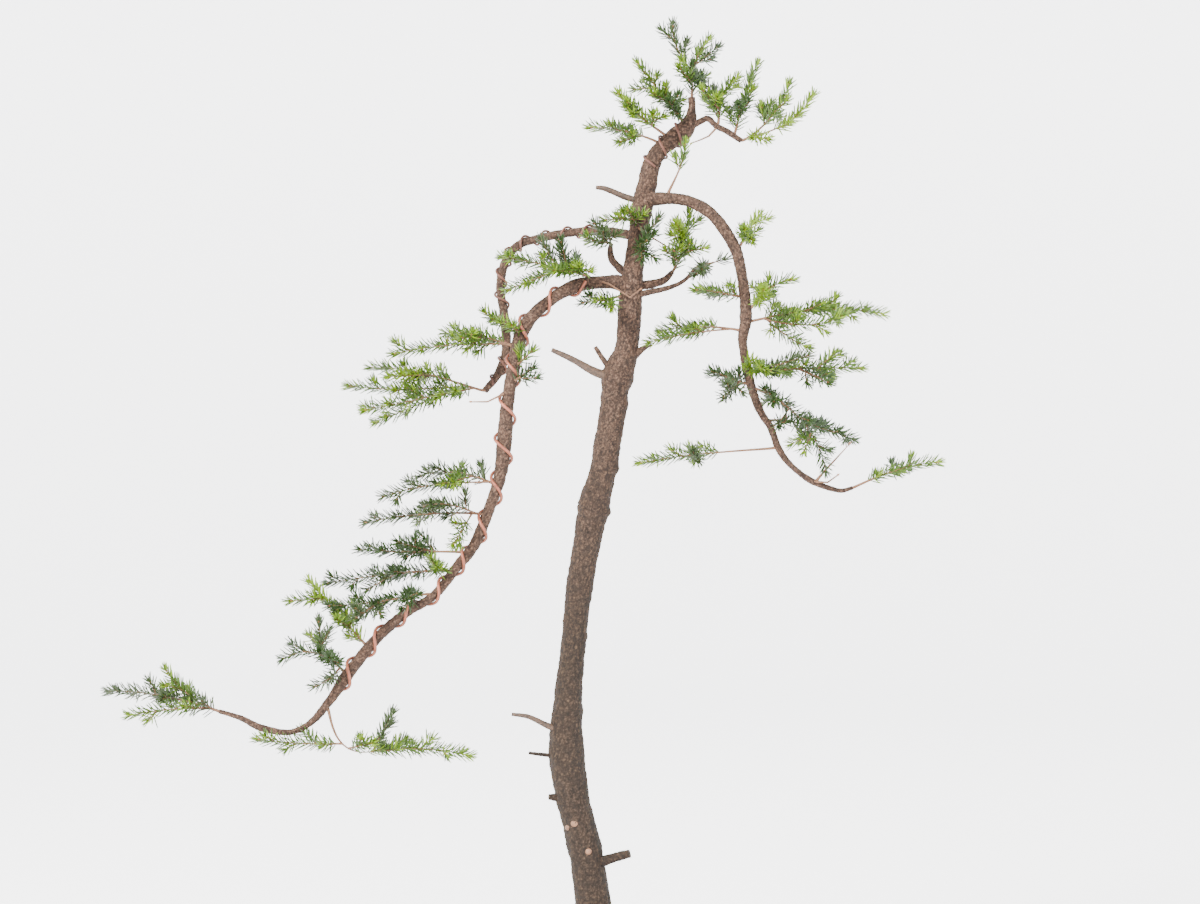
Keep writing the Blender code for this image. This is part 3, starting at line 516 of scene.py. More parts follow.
def bark_material(name, lower, upper, change):
    """Mottled bark: (dark, mid, fleck) below and above, changing between two heights, darkened in
    its cracks and sunk pits as painted shade.
    """
    material, nodes, links, shader = new_material(name, 0.88)
    shader.inputs["Specular IOR Level"].default_value = 0.25
    coords = nodes.new("ShaderNodeTexCoord").outputs["Object"]
    tones = []
    for dark, mid, fleck in (lower, upper):
        base = noise_ramp(nodes, links, coords, 150, 8, ((0.36, dark), (0.64, mid)), 0.75)
        flecks = noise_ramp(nodes, links, coords, 420, 5, ((0.46, dark), (0.70, fleck)), 0.7)
        tones.append(blend_colours(nodes, links, 0.42, base, flecks))
    height = nodes.new("ShaderNodeSeparateXYZ")
    links.new(coords, height.inputs["Vector"])
    share = nodes.new("ShaderNodeMapRange")
    share.inputs["From Min"].default_value = change[0]
    share.inputs["From Max"].default_value = change[1]
    links.new(height.outputs["Z"], share.inputs["Value"])
    colour = blend_colours(nodes, links, share.outputs["Result"], *tones)
    # Painted shade: the bark colour is scaled down in the cracks and sunk pits, and a little up
    # on the raised plates, by the value stored on the mesh.
    crack_shade = nodes.new("ShaderNodeAttribute")
    crack_shade.attribute_name = "crack_shade"
    shade = nodes.new("ShaderNodeMapRange")
    shade.inputs["From Max"].default_value = 0.8
    shade.inputs["To Min"].default_value = 0.34
    shade.inputs["To Max"].default_value = 1.15
    links.new(crack_shade.outputs["Fac"], shade.inputs["Value"])
    crack_shaded = nodes.new("ShaderNodeVectorMath")
    crack_shaded.operation = "SCALE"
    links.new(colour, crack_shaded.inputs[0])
    links.new(shade.outputs["Result"], crack_shaded.inputs["Scale"])
    links.new(crack_shaded.outputs["Vector"], shader.inputs["Base Color"])
    add_bump(nodes, links, coords, shader, 700, 0.0012, 0.8)
    return material


LOWER_BARK = ((0.007, 0.004, 0.0025), (0.034, 0.020, 0.012), (0.110, 0.070, 0.042))
UPPER_BARK = ((0.014, 0.007, 0.0045), (0.092, 0.048, 0.030), (0.280, 0.170, 0.115))
noise.seed_set(BARK_SEED)
old_bark = bark_material("old_bark", LOWER_BARK, UPPER_BARK, (0.55, 1.02))
trunk = bark_tube(
    "trunk_bark",
    ((TRUNK[0][0], TRUNK[0][1], TRUNK_FOOT, TRUNK[0][3] + 2), *TRUNK[1:]),
    TRUNK_RINGS,
    TRUNK_SIDES,
    TRUNK_PLATE,
    TRUNK_RELIEF,
    TRUNK_KNOTS,
    True,
)
stubs = [
    bark_tube(f"stub_{number}", stations, STUB_RINGS, STUB_SIDES, STUB_PLATE, STUB_RELIEF)
    for number, stations in enumerate(TRUNK_STUBS)
]
for piece in (trunk, *stubs):
    piece.data.materials.append(old_bark)
    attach(piece, "root")
    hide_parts("trunk")


# Boughs: two to the left, one to the right and small ones at the middle and the top, each
# tapering, bent by its wire, in paler bark with rough scales, dark partly in their own colour and
# partly by painted shade in the cracks.
LEFT_HIGH_BOUGH = (
    (46, 1, 1060, 13), (12, 14, 1066, 12), (-30, 26, 1067, 11), (-76, 36, 1060, 11),
    (-104, 42, 1051, 11), (-120, 45, 1030, 11), (-126, 46, 998, 11), (-120, 44, 954, 12),
    (-119, 38, 915, 12), (-130, 30, 886, 10), (-145, 22, 867, 8),
)
LEFT_LOW_BOUGH = (
    (40, -2, 992, 22), (24, -7, 1001, 20), (0, -13, 1001, 17), (-31, -19, 996, 17),
    (-61, -24, 979, 15), (-94, -28, 945, 17), (-105, -30, 905, 17), (-114, -32, 855, 16),
    (-119, -34, 800, 19), (-126, -37, 752, 15), (-152, -42, 682, 14), (-175, -47, 650, 13),
    (-204, -53, 614, 11), (-240, -59, 591, 12), (-274, -64, 561, 13), (-307, -69, 520, 15),
    (-332, -72, 484, 11), (-354, -73, 459, 8), (-380, -73, 447, 7), (-414, -71, 452, 9),
    (-440, -69, 464, 7), (-467, -66, 472, 5),
)
RIGHT_BOUGH = (
    (56, -1, 1105, 18), (74, -10, 1106, 17), (96, -16, 1105, 15), (118, -20, 1099, 15),
    (140, -23, 1084, 15), (157, -25, 1062, 15), (170, -27, 1036, 14), (178, -28, 996, 13),
    (181, -27, 956, 15), (177, -25, 929, 12), (180, -22, 907, 11), (186, -18, 879, 12),
    (199, -12, 842, 10), (213, -8, 820, 9), (223, -5, 794, 9), (238, -2, 774, 7),
    (264, 1, 754, 8), (298, 4, 742, 6), (316, 5, 745, 5),
)
APEX_BOUGH = (
    (105, 5, 1193, 10), (124, 4, 1203, 8), (135, 4, 1207, 8), (146, 5, 1198, 8),
    (160, 7, 1191, 8), (177, 8, 1180, 7),
)
CENTRE_BOUGH = (
    (42, 0, 997, 12), (64, 4, 1000, 11), (80, 6, 1005, 9), (91, 8, 1016, 6),
)
CENTRE_LOW_BOUGH = (
    (42, -2, 985, 10), (60, -9, 989, 8), (86, -8, 995, 6), (105, -6, 1004, 5), (120, -4, 1020, 5),
)
CENTRE_STUB = (
    (40, 2, 1008, 11), (26, 8, 1019, 10), (15, 9, 1031, 9), (13, 6, 1043, 7), (14, 3, 1050, 5),
)
BOUGHS = {
    "left_high_bough": (LEFT_HIGH_BOUGH, ("left_high_bough_1", "left_high_bough_2")),
    "left_low_bough": (
        LEFT_LOW_BOUGH,
        ("left_low_bough_1", "left_low_bough_2", "left_low_bough_3"),
    ),
    "right_bough": (RIGHT_BOUGH, ("right_bough_1", "right_bough_2")),
    "apex_bough": (APEX_BOUGH, ("apex_bough",)),
    "centre_bough": (CENTRE_BOUGH, ("centre_bough",)),
    "centre_low_bough": (CENTRE_LOW_BOUGH, ("centre_low_bough",)),
    "centre_stub": (CENTRE_STUB, ("centre_stub",)),
}
BOUGH_RINGS = 1.5 * MM
BOUGH_SIDES = 32
BOUGH_PLATE = 3.4 * MM
BOUGH_RELIEF = 0.8 * MM
bough_bark = bark_material("bough_bark", UPPER_BARK, UPPER_BARK, (0.4, 1.0))
for name, (stations, nodes_replaced) in BOUGHS.items():
    bark = (BOUGH_RINGS, BOUGH_SIDES, BOUGH_PLATE, BOUGH_RELIEF)
    bough = bark_tube(name + "_bark", stations, *bark)
    bough.data.materials.append(bough_bark)
    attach(bough, "root")
    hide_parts(*nodes_replaced)


# Snags: dead limbs peeled of their bark, orange-tan and grained lengthways, and three fresh saw
# cuts low on the trunk's viewer side.
PEELED_SNAG_HIGH = (
    (51, 0, 1103, 8), (30, -4, 1109, 8), (8, -8, 1118, 7), (-5, -10, 1120, 5),
)
PEELED_SNAG_LONG = (
    (22, 0, 884, 14), (-4, -10, 889, 11), (-34, -16, 905, 8), (-60, -20, 917, 6),
)
PEELED_SNAG_LOW = (
    (-42, 10, 440, 14), (-64, 2, 447, 8), (-88, -4, 459, 6), (-110, -8, 463, 4.5),
)
SAW_CUTS = ((-39, -8, 321, 6), (-31, -13, 327, 8), (-14, -15, 292, 7))
SNAG_RINGS = 1.2 * MM
SNAG_SIDES = 16
SNAG_PLATE = 3.0 * MM
SNAG_RELIEF = 0.35 * MM
CUT_RINGS = 0.8 * MM
CUT_SIDES = 24
CUT_RELIEF = 0.2 * MM
dead_wood = grained(
    "dead_wood",
    0.7,
    (
        (45, 1.0, ((0.3, (0.014, 0.007, 0.0035)), (0.7, (0.046, 0.023, 0.011)))),
        (380, 0.4, ((0.42, (0.009, 0.005, 0.003)), (0.64, (0.130, 0.066, 0.032)))),
    ),
    (800, 0.0005),
)
for name, stations in (
    ("peeled_snag_high", PEELED_SNAG_HIGH),
    ("peeled_snag_long", PEELED_SNAG_LONG),
    ("peeled_snag_low", PEELED_SNAG_LOW),
):
    grain_lines = (SNAG_RINGS, SNAG_SIDES, SNAG_PLATE, SNAG_RELIEF)
    snag = bark_tube(name + "_wood", stations, *grain_lines)
    snag.data.materials.append(dead_wood)
    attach(snag, "root")
    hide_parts(name)
cut_wood = grained(
    "cut_wood",
    0.6,
    (
        (120, 1.0, ((0.35, (0.080, 0.030, 0.012)), (0.65, (0.170, 0.075, 0.032)))),
        (900, 0.3, ((0.40, (0.050, 0.020, 0.008)), (0.60, (0.220, 0.110, 0.050)))),
    ),
    (900, 0.0003),
)
for number, (right, back, rise, wide) in enumerate(SAW_CUTS):
    stations = (
        (right, back + 9, rise, wide + 5),
        (right - 0.6, back + 1.5, rise + 0.6, wide + 2.5),
        (right - 1.0, back - 2.0, rise + 1.0, wide),
        (right - 1.1, back - 2.6, rise + 1.1, wide - 2.0),
    )
    face_lines = (CUT_RINGS, CUT_SIDES, SNAG_PLATE, CUT_RELIEF)
    cut = bark_tube(f"saw_cut_{number}", stations, *face_lines)
    cut.data.materials.append(cut_wood)
    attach(cut, "root")


# Training wire: heavy copper wound round three limbs, bright and pinkish where it is new
# and browned where it has weathered, close on the bark at an even slant.
COPPER_WIRE = 4.0 * MM
AGED_WIRE = 3.0 * MM
# Node, limb, the shares of it where the wire starts and ends, turns, thickness, first angle
WIRES = (
    ("copper_wire", LEFT_LOW_BOUGH, 0.075, 0.80, 12.5, COPPER_WIRE, 2.0),
    ("aged_wire", LEFT_HIGH_BOUGH, 0.13, 0.97, 11, AGED_WIRE, 0.5),
    ("apex_wire", TRUNK, 0.905, 0.962, 2.6, AGED_WIRE, 2.0),
)
WIRE_TURN_POINTS = 28
WIRE_STEP = 0.004
WIRE_CLEAR = 0.55 * MM


def metal(name, tones, roughness):
    material, nodes, links, shader = new_material(name, roughness)
    coords = nodes.new("ShaderNodeTexCoord").outputs["Object"]
    stain = noise_ramp(nodes, links, coords, 55, 5, tones)
    links.new(stain, shader.inputs["Base Color"])
    shader.inputs["Metallic"].default_value = 0.35
    add_bump(nodes, links, coords, shader, 600, 0.0002)
    return material


BRIGHT_TONES = ((0.3, (0.120, 0.032, 0.016)), (0.7, (0.270, 0.085, 0.046)))
AGED_TONES = ((0.3, (0.045, 0.016, 0.010)), (0.7, (0.150, 0.058, 0.036)))
bright_copper = metal("bright_copper", BRIGHT_TONES, 0.5)
aged_copper = metal("aged_copper", AGED_TONES, 0.6)


def tubes(name, runs, resolution):
    """One mesh of round tubes, each run a list of points and radii."""
    data = bpy.data.curves.new(name, "CURVE")
    data.dimensions = "3D"
    data.use_fill_caps = True
    data.bevel_depth = 1
    data.bevel_resolution = resolution
    for points, radii in runs:
        spline = data.splines.new("POLY")
        spline.points.add(len(points) - 1)
        for knot, point, radius in zip(spline.points, points, radii):
            knot.co = (*point, 1)
            knot.radius = radius
    curve = link(bpy.data.objects.new(name + "_curve", data))
    mesh = evaluated_mesh(curve)
    bpy.data.objects.remove(curve)
    bpy.data.curves.remove(data)
    mesh.name = name
    mesh.polygons.foreach_set("use_smooth", [True] * len(mesh.polygons))
    return link(bpy.data.objects.new(name, mesh))


for name, stations, start, end, turns, thickness, phase in WIRES:
    points, radii = smooth_path(stations, WIRE_STEP)
    across, up = frames_along(points)
    count = int(turns * WIRE_TURN_POINTS) + 1
    path = []
    for number, where in enumerate(np.linspace(start, end, count) * (len(points) - 1)):
        angle = phase - number * 2 * math.pi / WIRE_TURN_POINTS
        reach = np.interp(where, np.arange(len(points)), radii) + WIRE_CLEAR + thickness / 2
        low = min(int(where), len(points) - 2)
        centre = points[low] + (points[low + 1] - points[low]) * (where - low)
        path.append(centre + reach * (math.cos(angle) * across[low] + math.sin(angle) * up[low]))
    wire = tubes(name + "_coil", [(path, [thickness / 2] * count)], 3)
    wire.data.materials.append(bright_copper if name == "copper_wire" else aged_copper)
    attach(wire, "root")
    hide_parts(name)


# Shoots: each spray is a stem with forks, and side shoots on both that carry the needles
# out to the same reach. Twigs are orange-tan, with a brown bud at every tip and fork.
# Limb and where on it, the stem as right, back, up, bow and bare share, and the forks as
# their place on the stem and then the same, in mm
SPRAYS = {
    "apex_crown": (
        "trunk", None, (116, 4, 1273, 0, 0.0),
        (0.80, 91, -8, 1321, 9, 0.25), (0.90, 134, -2, 1303, 3, 0.20),
        (0.97, 146, 10, 1296, 0, 0.20), (0.45, 99, -38, 1264, 0, 0.10),
        (0.55, 126, 42, 1267, 0, 0.10),
    ),
    "apex_left_high": (
        "trunk", (100, 1205), (48, -10, 1273, 0, 0.05),
        (0.60, 44, 8, 1245, 0, 0.10), (0.35, 66, -34, 1234, 0, 0.10),
        (0.20, 86, -44, 1222, 0, 0.10), (0.25, 84, 38, 1240, 0, 0.10),
    ),
    "apex_left_middle": (
        "trunk", (88, 1180), (24, -24, 1234, 5, 0.25),
        (0.55, 34, -46, 1222, 0, 0.15), (0.30, 66, -46, 1206, 0, 0.20),
    ),
    "apex_left_low": (
        "trunk", (78, 1171), (-10, 12, 1197, -6, 0.25),
        (0.30, 26, -10, 1177, 0, 0.10), (0.50, 20, 44, 1200, 0, 0.20),
    ),
    "apex_middle": (
        "apex_bough", (147, 1197), (170, -4, 1256, 12, 0.10),
        (0.30, 128, -26, 1238, 0, 0.10), (0.45, 131, 12, 1249, 0, 0.10),
        (0.35, 152, 38, 1238, 0, 0.10),
    ),
    "apex_right": (
        "apex_bough", (166, 1187), (196, 2, 1273, 4, 0.05),
        (0.30, 172, -36, 1218, 0, 0.10), (0.35, 178, 40, 1226, 0, 0.10),
    ),
    "apex_right_tip": (
        "apex_bough", None, (236, -8, 1248, -12, 0.35),
        (0.10, 266, 14, 1236, -16, 0.35), (0.45, 201, 18, 1221, 0, 0.20),
        (0.15, 208, -24, 1178, 0, 0.20), (0.55, 226, 38, 1214, 0, 0.15),
    ),
    "right_bough_upright": (
        "right_bough", (86, 1106), (106, -24, 1171, -5, 0.50),
    ),
    "centre_front_high": (
        "trunk", (49, 1074), (34, -52, 1088, 0, 0.10),
        (0.40, 8, -36, 1077, 0, 0.15),
    ),
    "centre_left_tuft": (
        "centre_stub", None, (-16, -26, 1056, 3, 0.05),
        (0.30, 4, -52, 1062, 0, 0.15),
    ),
    "centre_front": (
        "trunk", (45, 1046), (58, -56, 1050, 0, 0.05),
        (0.40, 72, -44, 1078, 0, 0.15), (0.30, 52, -40, 1030, 0, 0.10),
    ),
    "centre_right": (
        "centre_bough", None, (112, 4, 1089, -6, 0.05),
        (0.20, 82, -24, 1040, 0, 0.15), (0.35, 129, -12, 1044, 0, 0.15),
        (0.30, 114, 42, 1046, 0, 0.10), (0.55, 96, -28, 1072, 0, 0.10),
        (0.60, 98, 34, 1080, 0, 0.10),
    ),
    "centre_low": (
        "centre_low_bough", None, (156, 4, 1031, 0, 0.70),
        (0.30, 126, -38, 1016, 0, 0.15), (0.35, 132, 30, 1018, 0, 0.15),
    ),
    "left_centre": (
        "left_low_bough", (-12, 1000), (-119, -36, 1031, -3, 0.12),
        (0.28, -48, -44, 1049, 0, 0.15), (0.22, -56, -78, 1012, 0, 0.15),
        (0.40, -72, -16, 1052, 0, 0.15), (0.35, -112, -54, 990, 0, 0.20),
        (0.15, -26, -58, 1018, 0, 0.15), (0.20, -30, 20, 1036, 0, 0.15),
    ),
    "left_centre_low": (
        "trunk", (38, 982), (-20, -36, 975, 0, 0.35),
        (0.30, 14, -58, 968, 0, 0.20),
    ),
    "right_back": (
        "right_bough", (167, 1043), (199, 0, 1084, 3, 0.15),
        (0.30, 178, -58, 1063, 0, 0.15), (0.35, 188, 32, 1060, 0, 0.15),
    ),
    "right_upper": (
        "right_bough", (181, 966), (236, -36, 1003, 10, 0.08),
        (0.30, 200, -76, 988, 0, 0.10), (0.35, 206, 18, 996, 0, 0.10),
    ),
    "right_upper_inner": (
        "right_bough", (178, 984), (120, -44, 990, -2, 0.05),
        (0.35, 138, -6, 986, 0, 0.15),
    ),
    "right_middle": (
        "right_bough", (181, 952), (350, -16, 962, 14, 0.12),
        (0.10, 297, -58, 957, -14, 0.10), (0.12, 256, -34, 920, -4, 0.10),
        (0.42, 272, -44, 972, 0, 0.15), (0.22, 246, 44, 962, 0, 0.15),
        (0.50, 312, 30, 966, 0, 0.15),
    ),
    "right_middle_inner": (
        "right_bough", (177, 940), (76, -34, 940, -7, 0.28),
        (0.12, 62, -60, 925, -4, 0.35), (0.40, 112, 6, 938, 0, 0.20),
    ),
    "right_lower": (
        "right_bough", (184, 889), (322, -24, 894, 3, 0.08),
        (0.06, 254, -62, 908, 0, 0.10), (0.05, 196, -84, 894, 0, 0.15),
        (0.62, 290, -34, 911, 0, 0.10), (0.45, 280, -58, 876, 0, 0.15),
        (0.25, 238, 36, 888, 0, 0.15), (0.55, 292, 22, 886, 0, 0.15),
    ),
    "right_lower_inner": (
        "right_bough", (183, 876), (141, -34, 889, 0, 0.05),
        (0.25, 152, -74, 857, 0, 0.15), (0.30, 156, 22, 876, 0, 0.15),
    ),
    "right_hanging": (
        "right_bough", (190, 867), (280, -22, 768, 25, 0.22),
        (0.18, 214, -56, 852, 0, 0.15), (0.22, 214, 30, 858, 0, 0.15),
        (0.60, 262, -2, 806, 0, 0.15), (0.65, 252, -46, 792, 0, 0.15),
    ),
    "right_hanging_back": (
        "right_bough", (208, 828), (319, 36, 806, 7, 0.25),
        (0.12, 222, -30, 822, 0, 0.15), (0.20, 236, 36, 846, 0, 0.95),
        (0.50, 286, 66, 820, 0, 0.15),
    ),
    "right_low_inner": (
        "right_bough", (222, 796), (52, -20, 777, -4, 0.42),
        (0.60, 122, -46, 780, 0, 0.10), (0.62, 118, 18, 785, 0, 0.10),
    ),
    "right_twig": (
        "right_bough", (268, 752), (310, -20, 800, 0, 0.95),
    ),
    "right_tip": (
        "right_bough", None, (422, 8, 777, 8, 0.20),
        (0.45, 388, 40, 768, 0, 0.15),
    ),
    "left_tier_front": (
        "left_low_bough", (-104, 922), (-189, -34, 937, -6, 0.15),
        (0.10, -252, -52, 911, -7, 0.15), (0.45, -168, -70, 930, 0, 0.15),
        (0.60, -178, 4, 934, 0, 0.15),
    ),
    "left_tier_back": (
        "left_high_bough", None, (-286, 18, 896, -10, 0.30),
        (0.16, -311, -14, 872, 6, 0.15), (0.14, -290, -34, 842, 2, 0.25),
        (0.18, -281, 24, 828, 0, 0.25), (0.10, -196, -30, 861, 0, 0.15),
        (0.45, -244, 64, 888, 0, 0.15), (0.50, -262, -8, 884, 0, 0.15),
    ),
    "left_upper_pair": (
        "left_low_bough", (-126, 750), (-221, -30, 761, -12, 0.10),
        (0.05, -264, -66, 736, -8, 0.25), (0.30, -190, -80, 752, 0, 0.20),
        (0.40, -186, 2, 762, 0, 0.20),
    ),
    "left_middle_high": (
        "left_low_bough", (-141, 712), (-288, -44, 703, -7, 0.22),
        (0.06, -215, -76, 724, -9, 0.15), (0.10, -178, -90, 678, 0, 0.25),
        (0.40, -226, 0, 712, 0, 0.15),
    ),
    "left_middle": (
        "left_low_bough", (-166, 663), (-294, -46, 669, 2, 0.25),
        (0.30, -246, -86, 680, 0, 0.15), (0.35, -246, -8, 672, 0, 0.15),
    ),
    "left_middle_long": (
        "left_low_bough", (-182, 641), (-335, -44, 628, -4, 0.05),
        (0.12, -198, -96, 650, 0, 0.15), (0.45, -284, -66, 622, 0, 0.15),
        (0.30, -262, -2, 634, 0, 0.15),
    ),
    "left_middle_dark": (
        "left_low_bough", (-206, 612), (-329, -92, 603, 4, 0.12),
        (0.15, -236, -118, 612, 0, 0.15), (0.50, -294, -118, 590, 0, 0.15),
        (0.40, -290, -54, 594, 0, 0.15),
    ),
    "left_lower_fork": (
        "left_low_bough", (-284, 550), (-356, -62, 630, 0, 0.05),
        (0.75, -377, -78, 608, 0, 0.10), (0.30, -318, -104, 586, 0, 0.10),
        (0.30, -298, -24, 594, 0, 0.10),
    ),
    "left_lower_fan": (
        "left_low_bough", (-309, 517), (-384, -96, 539, -22, 0.10),
        (0.45, -343, -84, 582, 0, 0.15), (0.10, -346, -92, 505, 4, 0.15),
        (0.30, -326, -128, 542, 0, 0.15), (0.40, -350, -36, 558, 0, 0.15),
    ),
    "left_tip": (
        "left_low_bough", None, (-602, -60, 496, -9, 0.05),
        (0.10, -572, -88, 469, -4, 0.10), (0.14, -532, -62, 521, 5, 0.15),
        (0.35, -548, -18, 488, 0, 0.15),
    ),
    "left_hanging": (
        "left_low_bough", (-336, 478), (-270, -80, 426, -34, 0.85),
        (0.97, -162, -62, 417, 8, 0.05), (0.92, -254, -92, 471, 0, 0.10),
        (0.60, -276, -112, 438, 0, 0.15), (0.50, -414, -96, 440, 3, 0.08),
        (0.90, -236, -36, 430, 0, 0.15),
    ),
}
# Small tufts straight on the boughs, in the same form
TUFTS = {
    "tuft_low": ("left_low_bough", (-108, 880), (-84, -52, 893, 0, 0.05)),
    "tuft_middle": ("left_low_bough", (-105, 900), (-84, -50, 914, 0, 0.05)),
    "tuft_high": ("left_low_bough", (-96, 935), (-108, -58, 945, 0, 0.05)),
    "tuft_upper": ("left_high_bough", (-120, 954), (-134, 20, 956, 0, 0.05)),
    "tuft_right": ("right_bough", (182, 903), (190, -52, 900, 0, 0.05)),
}
# Bare twigs, in mm
BARE_TWIGS = (
    ((-119, -38, 862), (-139, -42, 852), (-159, -40, 852)),
    ((146, 4, 1196), (136, 2, 1185), (125, 0, 1180), (115, -2, 1176)),
    ((-8, -14, 1006), (12, -24, 998), (37, -26, 982), (50, -20, 992)),
    ((44, -10, 1072), (66, -18, 1056), (91, -16, 1041)),
    ((268, -1, 753), (284, -6, 752), (296, -10, 761)),
    ((213, -8, 821), (224, -12, 828), (234, -14, 842)),
    ((-189, -36, 915), (-188, -38, 929)),
)
SEED = 11
STEM_RADIUS = 2.2 * MM
FORK_RADIUS = 1.6 * MM
SIDE_RADIUS = 1.0 * MM
TIP_RADIUS = 0.5 * MM
TWIG_STEP = 4.0 * MM
BOW_PLACE = 0.55
BOW_GAIN = 1.5
CORE_BEND = 6.0 * MM
AXIS_STEP = 3 * MM
FOOT_DEPTH = 0.6
BARE_RADII = (1.6 * MM, 0.8 * MM)
NO_NEEDLES = 0.9
SIDE_PITCH = 24.0 * MM
SIDE_LENGTHS = (12 * MM, 27 * MM)
SIDE_LEAN = math.radians(46)
SIDE_FLATNESS = 0.45
SIDE_RISE = 0.12
SIDE_BOW = 2
SIDE_BEND = 3 * MM
FIRST_SIDE = 9 * MM
LAST_SIDE = 12 * MM
GOLDEN_TURN = math.radians(137.5)
NEEDLE_PITCH = 0.95 * MM
NEEDLE_LENGTHS = (13.0 * MM, 18.5 * MM)
NEEDLE_WIDTH = 2.3 * MM
TIP_NEEDLES = 7
# How far needles lean out at a shoot's foot, and how much less at its tip, in degrees
FOOT_LEAN = 62
LEAN_FALL = 26
LEAN_UNEVEN = 8
TIP_LEANS = (8, 42)
NEEDLE_RISE = 0.14
FRESH_END = 12 * MM
SHORT_END = 6 * MM
FIRST_NEEDLE = 2.5 * MM
FRESH_SHARE = 0.5
TIP_FRESH_SHARE = 0.6
# Shares of the shoots of each kind
GREEN_TO = 0.55
DEEP_TO = 0.82
DARK_DEEP_TO = 0.7
BRIGHT_FRESH_TO = 0.45
# Sprays inside, low in and behind the crown take only the deep and grey needle colours: partly
# the older needles' own colour, partly painted shade.
DARK_AND_SHADED_SPRAYS = {
    "left_middle_dark", "left_middle", "right_lower_inner", "centre_low", "right_hanging_back",
}
BRIGHT_SPRAYS = {
    "left_tier_front", "left_tier_back", "right_upper", "right_middle", "left_lower_fork",
    "apex_right_tip", "centre_right", "apex_left_middle", "tuft_right", "right_back",
}
# Kinds of needles with their colour
NEEDLE_COLOURS = {
    "fresh": (0.100, 0.168, 0.003),
    "green": (0.034, 0.072, 0.003),
    "deep": (0.013, 0.033, 0.003),
    "grey": (0.024, 0.042, 0.010),
}


def bezier(corners, t):
    a, b, c, d = corners
    s = 1 - t
    return a * s**3 + 3 * b * s**2 * t + 3 * c * s * t**2 + d * t**3


def shoot_path(start, heading, tip, bow, bend=CORE_BEND):
    """Points a step apart from start to tip, bowed to the left in the picture's plane."""
    way = tip - start
    across = Vector((-way.z, 0, way.x)).normalized()
    corners = (
        start,
        start + heading * bend,
        start.lerp(tip, BOW_PLACE) + across * (bow * MM * BOW_GAIN),
        tip,
    )
    steps = max(3, round(way.length / TWIG_STEP))
    return [bezier(corners, step / steps) for step in range(steps + 1)]


def measured(path):
    return np.cumsum([0] + [(b - a).length for a, b in zip(path, path[1:])])


def at_length(path, lengths, run):
    """The point and the direction at a run along the path."""
    index = min(int(np.searchsorted(lengths, run)), len(path) - 1)
    index = max(index, 1)
    one, other = path[index - 1], path[index]
    share = (run - lengths[index - 1]) / max(lengths[index] - lengths[index - 1], 1e-9)
    return one.lerp(other, share), (other - one).normalized()


def square_to(ahead, angle):
    """A direction square to ahead, turned by the angle from the viewer's right."""
    side = ahead.cross(Vector((0, 0, 1)))
    if side.length < 0.2:
        side = ahead.cross(Vector((0, 1, 0)))
    side.normalize()
    return side * math.cos(angle) + ahead.cross(side) * math.sin(angle)


axes = {}
for name, stations in (("trunk", TRUNK), *((key, row[0]) for key, row in BOUGHS.items())):
    points, radii = smooth_path(stations, AXIS_STEP)
    axes[name] = ([Vector(point) for point in points], radii)

twigs = []
buds = []
needles = {kind: [] for kind in NEEDLE_COLOURS}


def grow_needles(path, bare, source, kind):
    """Needles in a spiral that lean forward more towards the tip, then a star of them."""
    lengths = measured(path)
    total = lengths[-1]
    run = max(bare * total, FIRST_NEEDLE)
    angle = source.uniform(0, 2 * math.pi)
    while run < total:
        spot, ahead = at_length(path, lengths, run)
        uneven = source.uniform(-LEAN_UNEVEN, LEAN_UNEVEN)
        lean = math.radians(FOOT_LEAN - LEAN_FALL * (run / total) + uneven)
        out = square_to(ahead, angle)
        aimed = out * math.sin(lean) + ahead * math.cos(lean) + Vector((0, 0, NEEDLE_RISE))
        shade = kind
        if kind == "green" and total - run < FRESH_END and source.random() < FRESH_SHARE:
            shade = "fresh"
        size = source.uniform(*NEEDLE_LENGTHS) * (1.0 if total - run > SHORT_END else 0.85)
        needles[shade].append((spot, aimed.normalized(), size))
        run += NEEDLE_PITCH * source.uniform(0.8, 1.25)
        angle += GOLDEN_TURN
    ahead = (path[-1] - path[-2]).normalized()
    for number in range(TIP_NEEDLES):
        lean = math.radians(source.uniform(*TIP_LEANS))
        out = square_to(ahead, angle + number * GOLDEN_TURN)
        aimed = out * math.sin(lean) + ahead * math.cos(lean)
        size = source.uniform(*NEEDLE_LENGTHS) * 0.8
        young = kind in ("fresh", "green") and source.random() < TIP_FRESH_SHARE
        shade = "fresh" if young else kind
        needles[shade].append((path[-1], aimed.normalized(), size))


def grow_sides(path, bare, source, kind):
    """Side shoots all round a stem or fork, shorter towards its tip."""
    lengths = measured(path)
    total = lengths[-1]
    run = max(bare * total + 4 * MM, FIRST_SIDE)
    angle = source.uniform(0, 2 * math.pi)
    while run < total - LAST_SIDE:
        spot, ahead = at_length(path, lengths, run)
        out = square_to(ahead, angle)
        out.z *= SIDE_FLATNESS
        out.normalize()
        way = out * math.sin(SIDE_LEAN) + ahead * math.cos(SIDE_LEAN)
        length = source.uniform(*SIDE_LENGTHS) * (1.05 - 0.5 * run / total)
        tip = spot + way * length + Vector((0, 0, SIDE_RISE * length))
        side = shoot_path(spot, way, tip, source.uniform(-SIDE_BOW, SIDE_BOW), SIDE_BEND)
        twigs.append((side, np.linspace(SIDE_RADIUS, TIP_RADIUS, len(side))))
        grow_needles(side, 0.05, source, kind)
        buds.append((tip, way, 0.8))
        buds.append((spot, way, 0.6))
        run += SIDE_PITCH * source.uniform(0.75, 1.3)
        angle += GOLDEN_TURN


